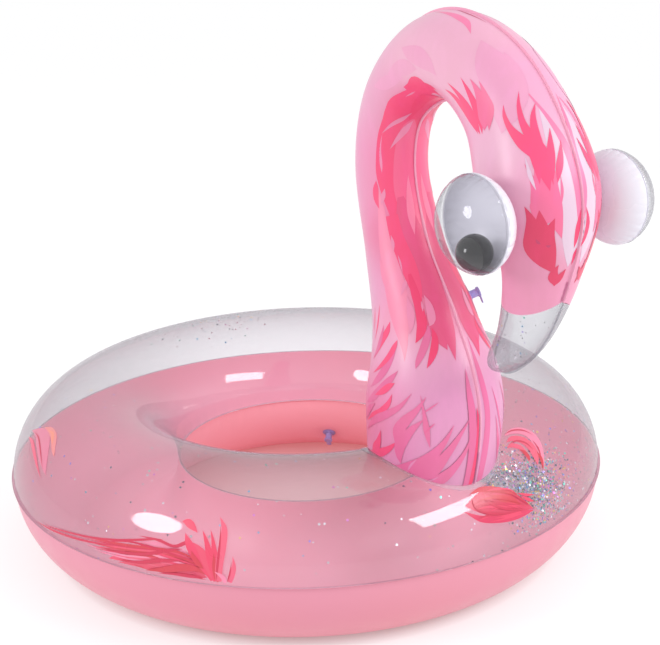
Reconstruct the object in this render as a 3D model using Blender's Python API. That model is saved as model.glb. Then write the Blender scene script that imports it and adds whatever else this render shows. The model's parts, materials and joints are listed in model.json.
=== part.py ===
"""Inflatable flamingo swim ring, as an assembly of film panels, eyes and valves.

Metres, +Z up. The bird faces -Y, its left side is +X, and the ring lies on Z = 0.
The origin is under the middle of the whole object. Run it in Blender 4.5, from the
text editor or with blender --background --python part.py.
"""

import functools
import math

import bmesh
import bpy
from mathutils import Matrix, Vector

# Film and clearances
FILM = 0.0004
GAP = 0.0003
FIN = 0.003

# Ring chamber: a turned section, wider inwards than outwards of its crest
RING_OUTER_RADIUS = 0.450
RING_CREST_RADIUS = 0.328
RING_HOLE_RADIUS = 0.196
RING_HEIGHT = 0.236
RING_STEPS = 64
RING_ROWS = 12

# Neck and head: stations up the neck, over the arch and down the beak, as
# (forward of the foot, above the ring's crest, half depth, half width)
NECK_FOOT_FORWARD = -0.013
NECK_STATIONS = (
    (0.000, -0.045, 0.088, 0.083),
    (0.010, 0.070, 0.093, 0.090),
    (-0.012, 0.164, 0.070, 0.070),
    (-0.053, 0.257, 0.052, 0.054),
    (-0.082, 0.364, 0.050, 0.047),
    (-0.060, 0.454, 0.047, 0.049),
    (0.008, 0.511, 0.052, 0.053),
    (0.083, 0.515, 0.055, 0.055),
    (0.157, 0.466, 0.064, 0.057),
    (0.205, 0.374, 0.071, 0.070),
    (0.212, 0.289, 0.047, 0.048),
    (0.184, 0.204, 0.032, 0.032),
    (0.137, 0.145, 0.014, 0.024),
)
NECK_ROWS = 32
PANEL_COLUMNS = 10
BEAK_ROWS = 9
BEAK_START_FRONT = 10.25
BEAK_START_BACK = 10.85
BEAK_START_BULGE = 0.20
TIP_ROUNDING = 0.45
TIP_OPENING = 0.15

# Base sheet under the neck
BASE_MARGIN = 0.010

# Eyes: domes welded back to back on the head's sides, a loose ball in each
EYE_FORWARD = 0.218
EYE_ABOVE_CREST = 0.359
EYE_RADIUS = 0.0555
EYE_DOME_DEPTH = 0.037
EYE_WELD_RADIUS = 0.016
EYE_FIN = 0.0015
EYE_STEPS = 28
EYE_ROWS = 6
PUPIL_RADIUS = 0.0215
PUPIL_WALL = 0.0008
PUPIL_HOLE_RADIUS = 0.0015
PUPIL_ROLL_CLEARANCE = 0.0012
PUPIL_STEPS = 20
PUPIL_ROWS = 10

# Valves: soft moulded flange, stem, non-return flap and stopper
RING_VALVE_ANGLE = math.radians(135.0)
RING_VALVE_SECTION = math.radians(37.5)
NECK_VALVE_ABOVE_CREST = 0.205
NECK_VALVE_SIDE = math.radians(62.0)
VALVE_STEPS = 20
FLANGE_RADIUS = 0.011
FLANGE_THICKNESS = 0.0008
HUB_RADIUS = 0.0078
HUB_HEIGHT = 0.003
STEM_RADIUS = 0.0055
STEM_BORE = 0.0042
STEM_OUTSIDE = 0.0145
STEM_INSIDE = 0.009
LIP_RADIUS = 0.0070
LIP_THICKNESS = 0.0012
FLAP_RADIUS = 0.0050
FLAP_THICKNESS = 0.0008
PLUG_LENGTH = 0.008
CAP_THICKNESS = 0.0015
TAB_LENGTH = 0.010
TAB_WIDTH = 0.008

# Loose glitter that has gathered in the ring, at the bird's left side
HEAP_ANGLE = math.radians(73.0)
HEAP_RADIUS = 0.355
HEAP_LENGTH = 0.120
HEAP_WIDTH = 0.080
HEAP_DEPTH = 0.010

MATERIALS = {
    "clear_film": ((0.80, 0.78, 0.81), 0.12),
    "pink_film": ((0.93, 0.48, 0.56), 0.22),
    "printed_film": ((0.90, 0.50, 0.68), 0.25),
    "beak_film": ((0.74, 0.73, 0.77), 0.12),
    "eye_white_film": ((0.86, 0.86, 0.92), 0.25),
    "eye_clear_film": ((0.78, 0.74, 0.80), 0.10),
    "pupil_black": ((0.020, 0.024, 0.028), 0.12),
    "valve_lilac": ((0.36, 0.33, 0.58), 0.30),
    "glitter_silver": ((0.62, 0.60, 0.66), 0.30),
}

SEAM_HEIGHT = RING_HEIGHT / 2
OUTWARD_HALF = RING_OUTER_RADIUS - FIN - RING_CREST_RADIUS
INWARD_HALF = RING_CREST_RADIUS - RING_HOLE_RADIUS - FIN
FOOT_FORWARD = RING_CREST_RADIUS + NECK_FOOT_FORWARD
LAST_STATION = len(NECK_STATIONS) - 1
VALVE_HOLE_RADIUS = STEM_RADIUS + GAP


# ---------------------------------------------------------------- helpers

def clear_scene():
    """Remove every object that the file already holds."""
    for item in list(bpy.data.objects):
        bpy.data.objects.remove(item)


def material(name):
    """Return the named Principled material, made the first time it is asked for."""
    found = bpy.data.materials.get(name)
    if found:
        return found
    colour, roughness = MATERIALS[name]
    made = bpy.data.materials.new(name)
    made.use_nodes = True
    shader = made.node_tree.nodes["Principled BSDF"]
    shader.inputs["Base Color"].default_value = (*colour, 1.0)
    shader.inputs["Roughness"].default_value = roughness
    shader.inputs["Metallic"].default_value = 0.6 if name == "glitter_silver" else 0.0
    made.diffuse_color = (*colour, 1.0)
    return made


def add_object(name, bm, material_name, smooth_angle=40.0):
    """Turn a bmesh into a smooth-shaded object with one material."""
    bmesh.ops.recalc_face_normals(bm, faces=bm.faces)
    mesh = bpy.data.meshes.new(name)
    bm.to_mesh(mesh)
    bm.free()
    mesh.shade_smooth()
    mesh.set_sharp_from_angle(angle=math.radians(smooth_angle))
    mesh.materials.append(material(material_name))
    item = bpy.data.objects.new(name, mesh)
    bpy.context.scene.collection.objects.link(item)
    return item


def add_cutter(name, bm):
    """Make a hidden object that only trims others."""
    item = add_object(name, bm, "clear_film")
    item.hide_render = True
    item.display_type = "WIRE"
    return item


def trim(item, cutter, operation="DIFFERENCE"):
    """Add a Boolean modifier with a cutter."""
    modifier = item.modifiers.new(cutter.name, "BOOLEAN")
    modifier.operation = operation
    modifier.solver = "EXACT"
    modifier.object = cutter


def turned(outline, steps):
    """Spin a closed outline of (radius, height) points round Z.

    An edge whose two ends lie on the axis is left out, so poles close cleanly.
    """
    bm = bmesh.new()
    verts = [bm.verts.new((radius, 0.0, height)) for radius, height in outline]
    edges = []
    for one, two in zip(verts, verts[1:] + verts[:1]):
        if max(one.co.x, two.co.x) > 1e-9:
            edges.append(bm.edges.new((one, two)))
    bmesh.ops.spin(bm, geom=verts + edges, axis=(0, 0, 1), cent=(0, 0, 0),
                   angle=math.tau, steps=steps, use_merge=True)
    bmesh.ops.remove_doubles(bm, verts=bm.verts, dist=1e-7)
    return bm


def sheet_body(outer, inner):
    """Close two equal grids of points into one thin body with a rim all round."""
    bm = bmesh.new()
    grids = [[[bm.verts.new(point) for point in row] for row in grid] for grid in (outer, inner)]
    out, back = grids
    rows = len(out)
    columns = len(out[0])
    for i in range(rows - 1):
        for j in range(columns - 1):
            bm.faces.new((out[i][j], out[i][j + 1], out[i + 1][j + 1], out[i + 1][j]))
            bm.faces.new((back[i][j], back[i + 1][j], back[i + 1][j + 1], back[i][j + 1]))
    for i in range(rows - 1):
        for j in (0, columns - 1):
            bm.faces.new((out[i][j], out[i + 1][j], back[i + 1][j], back[i][j]))
    for j in range(columns - 1):
        for i in (0, rows - 1):
            bm.faces.new((out[i][j], out[i][j + 1], back[i][j + 1], back[i][j]))
    return bm


# ---------------------------------------------------------------- ring chamber

def section_point(angle, lift=0.0):
    """Return (radius, height) on the ring's section, lifted off its outer face.

    The angle is 0 at the outer seam, 90 degrees on the crest, 180 at the hole's
    seam and negative below the seams. The lowest band is flat, for the floor.
    """
    half = OUTWARD_HALF if math.cos(angle) > 0 else INWARD_HALF
    radius = RING_CREST_RADIUS + (half + lift) * math.cos(angle)
    rise = math.sin(angle)
    if rise < -math.cos(math.pi / RING_ROWS) + 1e-6:
        rise = -1.0
    return radius, SEAM_HEIGHT + (SEAM_HEIGHT + lift) * rise


def section_arc(side, lift=0.0):
    """Return the points between the seams on the upper (+1) or lower (-1) half."""
    return [section_point(side * math.pi * i / RING_ROWS, lift) for i in range(1, RING_ROWS)]


def sheet_outline(side, lift=0.0):
    """Return the closed outline of one ring sheet, with a weld fin at both seams."""
    seam = SEAM_HEIGHT + side * GAP / 2
    face = seam + side * FILM
    outer_seam = RING_CREST_RADIUS + OUTWARD_HALF
    inner_seam = RING_CREST_RADIUS - INWARD_HALF
    outline = [(RING_OUTER_RADIUS, seam), (RING_OUTER_RADIUS, face), (outer_seam, face)]
    outline += section_arc(side, lift)
    outline += [(inner_seam, face), (RING_HOLE_RADIUS, face), (RING_HOLE_RADIUS, seam)]
    outline += [(inner_seam + FILM, seam)]
    outline += reversed(section_arc(side, lift - FILM))
    outline += [(outer_seam - FILM, seam)]
    return outline


def ring_place():
    """Return the ring's centre in the world."""
    return Vector((0.0, ring_offset(), 0.0))


def ring_sheet(name, side, material_name):
    """Make the upper or lower sheet of the ring chamber."""
    item = add_object(name, turned(sheet_outline(side), RING_STEPS), material_name)
    item.location = ring_place()
    return item


def ring_envelope(name, lift, side):
    """Make a solid of the ring's upper or lower half, lifted off its faces."""
    outline = [(RING_OUTER_RADIUS + lift, SEAM_HEIGHT)]
    outline += section_arc(side, lift)
    outline += [(RING_HOLE_RADIUS - lift, SEAM_HEIGHT)]
    item = add_cutter(name, turned(outline, RING_STEPS))
    item.location = ring_place()
    return item


def ring_facet(angle, section_angle):
    """Return the middle and outward normal of the lower sheet's facet nearest to two angles."""
    step = math.tau / RING_STEPS
    turn = (math.floor(angle / step) + 0.5) * step
    tilt = math.pi / RING_ROWS
    row = (math.floor(section_angle / tilt) + 0.5) * tilt
    corners = []
    for turn_side in (-0.5, 0.5):
        for row_side in (-0.5, 0.5):
            radius, height = section_point(math.pi + row + row_side * tilt)
            around = turn + turn_side * step
            corners.append(ring_place() + Vector((radius * math.sin(around), -radius * math.cos(around), height)))
    middle = sum(corners, Vector()) / 4
    normal = (corners[3] - corners[0]).cross(corners[2] - corners[1]).normalized()
    chamber = ring_place() + Vector((math.sin(turn), -math.cos(turn), 0.0)) * RING_CREST_RADIUS
    chamber.z = SEAM_HEIGHT
    if normal.dot(middle - chamber) < 0:
        normal.negate()
    return middle, normal


# ---------------------------------------------------------------- neck, head and beak

def station(place):
    """Return (forward, height, half depth, half width) and the direction of travel."""
    place = min(max(place, 0.0), LAST_STATION - 1e-9)
    index = int(place)
    t = place - index
    picked = [min(max(index + k, 0), LAST_STATION) for k in (-1, 0, 1, 2)]
    before, one, two, after = (Vector(NECK_STATIONS[k]) for k in picked)
    a = 2 * one
    b = two - before
    c = 2 * before - 5 * one + 4 * two - after
    d = -before + 3 * one - 3 * two + after
    value = 0.5 * (a + b * t + c * t ** 2 + d * t ** 3)
    travel = (b + 2 * c * t + 3 * d * t ** 2).to_2d().normalized()
    left_over = LAST_STATION - place
    if left_over < TIP_ROUNDING:
        share = max(TIP_OPENING, math.sqrt(1 - (1 - left_over / TIP_ROUNDING) ** 2))
        value[2] *= share
        value[3] *= share
    return value, travel


def neck_point(place, inward, across):
    """Return a world point from a place on the spine, a shift to the gap side and one across."""
    value, travel = station(place)
    forward = FOOT_FORWARD + value[0] + inward * travel.y
    height = RING_HEIGHT + value[1] - inward * travel.x
    return Vector((across, ring_offset() - forward, height))


@functools.lru_cache(maxsize=None)
def ring_offset():
    """Return how far behind the origin the ring's centre lies, to centre the whole object."""
    reach = 0.0
    for i in range(20 * LAST_STATION):
        value, travel = station(i / 20)
        reach = max(reach, FOOT_FORWARD + value[0] + (value[2] + FIN) * abs(travel.y))
    return (reach - RING_OUTER_RADIUS) / 2


def beak_start(angle):
    """Return where the pink film ends on the spine, at an angle round the section."""
    front = (1 - math.cos(angle)) / 2
    straight = BEAK_START_BACK + (BEAK_START_FRONT - BEAK_START_BACK) * front
    return straight + BEAK_START_BULGE * math.sin(angle)


def panel_grids(side, first, last, rows):
    """Return a side panel's outer and inner grids between two places on the spine.

    Columns run from the weld fin on the gap side, round the flank, to the fin in front.
    """
    outer = []
    inner = []
    for i in range(rows + 1):
        outer_row = []
        inner_row = []
        for j in range(-1, PANEL_COLUMNS + 2):
            angle = math.pi * min(max(j, 0), PANEL_COLUMNS) / PANEL_COLUMNS
            place = first(angle) + (last(angle) - first(angle)) * i / rows
            depth, width = station(place)[0][2:]
            flank = (depth * math.cos(angle), max(width - GAP, FILM) * math.sin(angle))
            thin = ((depth - FILM) * math.cos(angle), max(width - GAP - FILM, 0.0) * math.sin(angle))
            seam = GAP / 2
            if j in (-1, PANEL_COLUMNS + 1):
                tip = (depth + FIN) * math.copysign(1.0, math.cos(angle))
                outer_row.append(neck_point(place, tip, side * (seam + FILM)))
                inner_row.append(neck_point(place, tip, side * seam))
            else:
                outer_row.append(neck_point(place, flank[0], side * (seam + max(flank[1], FILM))))
                inner_row.append(neck_point(place, thin[0], side * (seam + thin[1])))
        outer.append(outer_row)
        inner.append(inner_row)
    return outer, inner


def neck_panel(name, side):
    """Make one printed side panel, from the ring up over the arch to the beak."""
    outer, inner = panel_grids(side, lambda angle: 0.0, beak_start, NECK_ROWS)
    return add_object(name, sheet_body(outer, inner), "printed_film")


def beak_panel(name, side):
    """Make one clear side panel of the beak, a hair beyond the printed film."""
    hair = GAP / (Vector(NECK_STATIONS[-2]).to_2d() - Vector(NECK_STATIONS[-3]).to_2d()).length
    outer, inner = panel_grids(
        side, lambda angle: beak_start(angle) + 1.5 * hair, lambda angle: float(LAST_STATION), BEAK_ROWS)
    return add_object(name, sheet_body(outer, inner), "beak_film")


def neck_facet(side):
    """Return the middle and normal of the neck panel's facet where the valve is welded."""
    outer, _ = panel_grids(side, lambda angle: 0.0, beak_start, NECK_ROWS)
    column = 1 + int(NECK_VALVE_SIDE / math.pi * PANEL_COLUMNS)
    target = RING_HEIGHT + NECK_VALVE_ABOVE_CREST
    lower_half = range(NECK_ROWS // 2)
    row = min(lower_half, key=lambda i: abs((outer[i][column].z + outer[i + 1][column].z) / 2 - target))
    corners = (outer[row][column], outer[row][column + 1], outer[row + 1][column + 1], outer[row + 1][column])
    middle = sum(corners, Vector()) / 4
    normal = (corners[2] - corners[0]).cross(corners[3] - corners[1]).normalized()
    if normal.x * side < 0:
        normal.negate()
    return middle, normal


def oval_prism(name, margin):
    """Make an upright oval cutter round the neck's foot."""
    _, _, half_depth, half_width = NECK_STATIONS[0]
    bm = bmesh.new()
    bmesh.ops.create_cone(bm, cap_ends=True, segments=48, radius1=1.0, radius2=1.0, depth=RING_HEIGHT)
    bmesh.ops.scale(bm, vec=(half_width + margin, half_depth + margin, 1.0), verts=bm.verts)
    item = add_cutter(name, bm)
    item.location = (0.0, ring_offset() - FOOT_FORWARD, SEAM_HEIGHT + RING_HEIGHT / 2 + FIN)
    return item


def base_sheet(name):
    """Make the sheet that closes the neck's foot and is welded on the ring's top."""
    outline = section_arc(1, GAP + FILM)
    outline += reversed(section_arc(1, GAP))
    item = add_object(name, turned(outline, RING_STEPS), "clear_film")
    item.location = ring_place()
    return item


def neck_and_beak():
    """Make the neck, the beak and the sheet that they stand on."""
    base = base_sheet("neck_base_sheet")
    trim(base, oval_prism("cutter_neck_base", BASE_MARGIN), "INTERSECT")
    scribe = ring_envelope("cutter_neck_foot", 2 * GAP + FILM, 1)
    panels = {}
    for word, side in (("right", -1), ("left", 1)):
        panels[word] = neck_panel(f"neck_{word}_panel", side)
        trim(panels[word], scribe)
        beak_panel(f"beak_{word}_panel", side)
    return panels


# ---------------------------------------------------------------- eyes

def eye_centre(side):
    """Return an eye's middle, with its weld patch a gap away from the head's side."""
    forward = FOOT_FORWARD + EYE_FORWARD
    height = RING_HEIGHT + EYE_ABOVE_CREST
    reach = 0.0
    for i in range(8 * 20, 11 * 20):
        value, _ = station(i / 20)
        near = math.hypot(FOOT_FORWARD + value[0] - forward, RING_HEIGHT + value[1] - height)
        if near < EYE_WELD_RADIUS:
            reach = max(reach, value[3])
    return Vector((side * (reach + GAP + weld_depth()), ring_offset() - forward, height))


def weld_depth():
    """Return how far behind the eye's seam its flat weld patch lies."""
    return EYE_DOME_DEPTH * math.sqrt(1 - (EYE_WELD_RADIUS / EYE_RADIUS) ** 2)


def dome_outline(flat_radius):
    """Return a dome's closed outline, from its weld fin to its pole and back inside."""
    rows = [math.pi / 2 * i / EYE_ROWS for i in range(1, EYE_ROWS + 1)]
    arcs = []
    for shrink in (0.0, FILM):
        radius = EYE_RADIUS - shrink
        depth = EYE_DOME_DEPTH - shrink
        arc = [(radius * math.cos(a), depth * math.sin(a)) for a in rows[:-1]]
        arc = [point for point in arc if point[0] > flat_radius]
        if flat_radius > 0:
            arc.append((flat_radius, weld_depth() - shrink))
            arc.append((0.0, weld_depth() - shrink))
        else:
            arc.append((0.0, depth))
        arcs.append(arc)
    seam = GAP / 2
    outline = [(EYE_RADIUS - FILM, seam), (EYE_RADIUS + EYE_FIN, seam), (EYE_RADIUS + EYE_FIN, seam + FILM)]
    outline += [(EYE_RADIUS, seam + FILM)]
    outline += arcs[0]
    outline += reversed(arcs[1])
    return outline


def eye_dome(name, centre, outward, flat_radius, material_name):
    """Make one dome of an eye, bulging along +X or -X."""
    item = add_object(name, turned(dome_outline(flat_radius), EYE_STEPS), material_name)
    item.rotation_euler = (0.0, outward * math.pi / 2, 0.0)
    item.location = centre
    return item


def pupil(name, centre):
    """Make the hollow ball at the bottom of an eye, with its origin on the eye's middle."""
    start = math.asin(PUPIL_HOLE_RADIUS / PUPIL_RADIUS)
    outline = []
    for radius, order in ((PUPIL_RADIUS, 1), (PUPIL_RADIUS - PUPIL_WALL, -1)):
        arc = []
        for i in range(PUPIL_ROWS + 1):
            angle = start + (math.pi - start) * i / PUPIL_ROWS
            reach = 0.0 if i == PUPIL_ROWS else radius * math.sin(angle)
            arc.append((reach, radius * math.cos(angle)))
        outline += arc[::order]
    bm = turned(outline, PUPIL_STEPS)
    drop = EYE_RADIUS - FILM - PUPIL_ROLL_CLEARANCE - PUPIL_RADIUS
    bmesh.ops.translate(bm, vec=(0.0, 0.0, -drop), verts=bm.verts)
    item = add_object(name, bm, "pupil_black")
    item.location = centre
    return item


def eyes():
    """Make both eyes: a white dome on the head, a clear dome outside and the loose pupil."""
    for word, side in (("right", -1), ("left", 1)):
        centre = eye_centre(side)
        eye_dome(f"{word}_eye_back_dome", centre, -side, EYE_WELD_RADIUS, "eye_white_film")
        eye_dome(f"{word}_eye_front_dome", centre, side, 0.0, "eye_clear_film")
        pupil(f"{word}_pupil", centre)


# ---------------------------------------------------------------- valves

def flange_outline():
    """Return the flange's outline, above a sheet at height 0."""
    bore = VALVE_HOLE_RADIUS
    low = GAP
    return [(bore, low), (FLANGE_RADIUS, low), (FLANGE_RADIUS, low + FLANGE_THICKNESS),
            (HUB_RADIUS, low + FLANGE_THICKNESS), (HUB_RADIUS, HUB_HEIGHT), (bore, HUB_HEIGHT)]


def stem_outline():
    """Return the stem's outline: a tube with a lip at its outer end."""
    under_lip = STEM_OUTSIDE - LIP_THICKNESS
    return [(STEM_BORE, -STEM_INSIDE), (STEM_RADIUS, -STEM_INSIDE), (STEM_RADIUS, under_lip),
            (LIP_RADIUS, under_lip), (LIP_RADIUS, STEM_OUTSIDE), (STEM_BORE, STEM_OUTSIDE)]


def stopper_body():
    """Return the stopper: a plug for the bore, a cap over the lip and a pull tab."""
    plug_radius = STEM_BORE - GAP
    cap_low = STEM_OUTSIDE + GAP
    cap_high = cap_low + CAP_THICKNESS
    outline = [(0.0, STEM_OUTSIDE - PLUG_LENGTH), (plug_radius, STEM_OUTSIDE - PLUG_LENGTH),
               (plug_radius, cap_low), (LIP_RADIUS, cap_low), (LIP_RADIUS, cap_high), (0.0, cap_high)]
    return turned(outline, VALVE_STEPS)


def pull_tab_body():
    """Return the rounded block that a union joins to a stopper's cap as its pull tab."""
    bm = bmesh.new()
    bmesh.ops.create_cube(bm, size=1.0)
    length = TAB_LENGTH + LIP_RADIUS / 2
    bmesh.ops.scale(bm, vec=(length, TAB_WIDTH, CAP_THICKNESS * 0.7), verts=bm.verts)
    shift = (LIP_RADIUS / 2 + length / 2, 0.0, STEM_OUTSIDE + GAP + CAP_THICKNESS / 2)
    bmesh.ops.translate(bm, vec=shift, verts=bm.verts)
    upright = [edge for edge in bm.edges if abs(edge.verts[0].co.z - edge.verts[1].co.z) > 1e-6]
    end = [edge for edge in upright if edge.verts[0].co.x > shift[0]]
    bmesh.ops.bevel(bm, geom=end, offset=TAB_WIDTH * 0.4, segments=4, affect="EDGES")
    return bm


def valve_matrix(middle, normal):
    """Return the frame of a valve: +Z along the facet's normal, +X as low as it can be."""
    down = Vector((0.0, 0.0, -1.0))
    along = (down - down.dot(normal) * normal).normalized()
    turn = Matrix((along, normal.cross(along), normal)).transposed().to_4x4()
    return Matrix.Translation(middle) @ turn


def valve(word, middle, normal, sheet):
    """Make a valve's four pieces and cut its hole in the sheet that carries it."""
    place = valve_matrix(middle, normal)
    flange = add_object(f"{word}_valve_flange", turned(flange_outline(), VALVE_STEPS), "valve_lilac")
    flange.matrix_world = place
    stem = add_object(f"{word}_valve_stem", turned(stem_outline(), VALVE_STEPS), "valve_lilac")
    stem.matrix_world = place

    stopper = add_object(f"{word}_valve_stopper", stopper_body(), "valve_lilac")
    stopper.matrix_world = place
    tab = add_cutter(f"cutter_{word}_valve_tab", pull_tab_body())
    tab.matrix_world = place
    trim(stopper, tab, "UNION")

    bm = bmesh.new()
    bmesh.ops.create_cone(bm, cap_ends=True, segments=VALVE_STEPS, radius1=FLAP_RADIUS,
                          radius2=FLAP_RADIUS, depth=FLAP_THICKNESS)
    bmesh.ops.translate(bm, vec=(FLAP_RADIUS, 0.0, 0.0), verts=bm.verts)
    flap = add_object(f"{word}_valve_flap", bm, "valve_lilac")
    hinge = Vector((-FLAP_RADIUS, 0.0, -STEM_INSIDE - GAP - FLAP_THICKNESS / 2))
    flap.matrix_world = place @ Matrix.Translation(hinge)

    bm = bmesh.new()
    bmesh.ops.create_cone(bm, cap_ends=True, segments=VALVE_STEPS, radius1=VALVE_HOLE_RADIUS,
                          radius2=VALVE_HOLE_RADIUS, depth=2 * STEM_INSIDE)
    drill = add_cutter(f"cutter_{word}_valve_hole", bm)
    drill.matrix_world = place
    trim(sheet, drill)


# ---------------------------------------------------------------- glitter

def glitter_heap(name):
    """Make the low heap of loose glitter on the ring's lower sheet."""
    bm = bmesh.new()
    bmesh.ops.create_uvsphere(bm, u_segments=24, v_segments=10, radius=0.5)
    bmesh.ops.scale(bm, vec=(HEAP_WIDTH, HEAP_LENGTH, 2 * HEAP_DEPTH), verts=bm.verts)
    item = add_object(name, bm, "glitter_silver")
    outwards = Vector((math.sin(HEAP_ANGLE), -math.cos(HEAP_ANGLE), 0.0))
    item.rotation_euler = (0.0, 0.0, HEAP_ANGLE - math.pi / 2)
    item.location = ring_place() + outwards * HEAP_RADIUS + Vector((0.0, 0.0, FILM + 2 * GAP))
    trim(item, ring_envelope("cutter_heap_bed", -FILM - GAP, -1), "INTERSECT")
    return item


def main():
    """Build the whole float."""
    clear_scene()
    ring_sheet("ring_top_sheet", 1, "clear_film")
    bottom = ring_sheet("ring_bottom_sheet", -1, "pink_film")
    panels = neck_and_beak()
    eyes()
    valve("ring", *ring_facet(RING_VALVE_ANGLE, RING_VALVE_SECTION), bottom)
    valve("neck", *neck_facet(1), panels["left"])
    glitter_heap("glitter_heap")


main()
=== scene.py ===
"""Looks of the inflatable flamingo swim ring: films, printed feathers, eyes, valves and glitter."""

import json
import math
import random

import bmesh
import bpy
import numpy as np
from bpy.props import FloatProperty, FloatVectorProperty, IntProperty, PointerProperty
from bpy.types import Operator, Panel, PropertyGroup
from mathutils import Matrix, Vector, noise


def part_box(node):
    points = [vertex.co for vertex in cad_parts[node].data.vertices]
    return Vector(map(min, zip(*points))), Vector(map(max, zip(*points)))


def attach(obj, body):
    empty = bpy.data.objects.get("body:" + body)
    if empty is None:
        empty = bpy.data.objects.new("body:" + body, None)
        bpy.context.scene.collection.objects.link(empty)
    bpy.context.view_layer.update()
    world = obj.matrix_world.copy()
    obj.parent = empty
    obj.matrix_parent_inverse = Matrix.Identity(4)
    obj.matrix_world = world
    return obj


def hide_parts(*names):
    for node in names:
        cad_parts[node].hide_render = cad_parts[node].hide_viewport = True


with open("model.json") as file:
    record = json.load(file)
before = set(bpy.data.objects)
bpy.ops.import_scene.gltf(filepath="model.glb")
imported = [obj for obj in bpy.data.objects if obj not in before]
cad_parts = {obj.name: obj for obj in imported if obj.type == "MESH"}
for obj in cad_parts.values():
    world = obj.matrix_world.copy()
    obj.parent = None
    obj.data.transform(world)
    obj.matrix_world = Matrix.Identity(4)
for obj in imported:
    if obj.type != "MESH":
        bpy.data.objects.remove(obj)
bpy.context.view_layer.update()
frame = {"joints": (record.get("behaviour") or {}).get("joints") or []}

bl_info = {
    "name": "Flamingo swim ring",
    "version": (1, 0, 0),
    "blender": (4, 5, 0),
    "location": "3D View > Sidebar > Swim Ring",
    "description": "Builds the films, prints, eyes, valves and glitter of an inflatable flamingo",
    "category": "Add Mesh",
}

RING_LOW, RING_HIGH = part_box("ring_bottom_sheet")
RING_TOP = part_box("ring_top_sheet")[1].z
RING_CENTRE = Vector(((RING_LOW.x + RING_HIGH.x) / 2, (RING_LOW.y + RING_HIGH.y) / 2, 0.0))
EYE_FRONT_LOW, EYE_FRONT_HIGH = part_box("left_eye_front_dome")
PUPIL_LOW, PUPIL_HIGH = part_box("left_pupil")
HEAP_LOW, HEAP_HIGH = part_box("glitter_heap")

# Stations up the neck, over the arch and down the beak, as
# (forward of the foot, above the ring's crest, half depth, half width)
NECK_STATIONS = (
    (0.000, -0.045, 0.088, 0.083),
    (0.010, 0.070, 0.093, 0.090),
    (-0.012, 0.164, 0.070, 0.070),
    (-0.053, 0.257, 0.052, 0.054),
    (-0.082, 0.364, 0.050, 0.047),
    (-0.060, 0.454, 0.047, 0.049),
    (0.008, 0.511, 0.052, 0.053),
    (0.083, 0.515, 0.055, 0.055),
    (0.157, 0.466, 0.064, 0.057),
    (0.205, 0.374, 0.071, 0.070),
    (0.212, 0.289, 0.047, 0.048),
    (0.184, 0.204, 0.032, 0.032),
    (0.137, 0.145, 0.014, 0.024),
)
LAST_STATION = len(NECK_STATIONS) - 1
TIP_ROUNDING = 0.45
TIP_OPENING = 0.15
BEAK_START_FRONT = 10.25
BEAK_START_BACK = 10.48
BEAK_START_BULGE = 0.20

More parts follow.
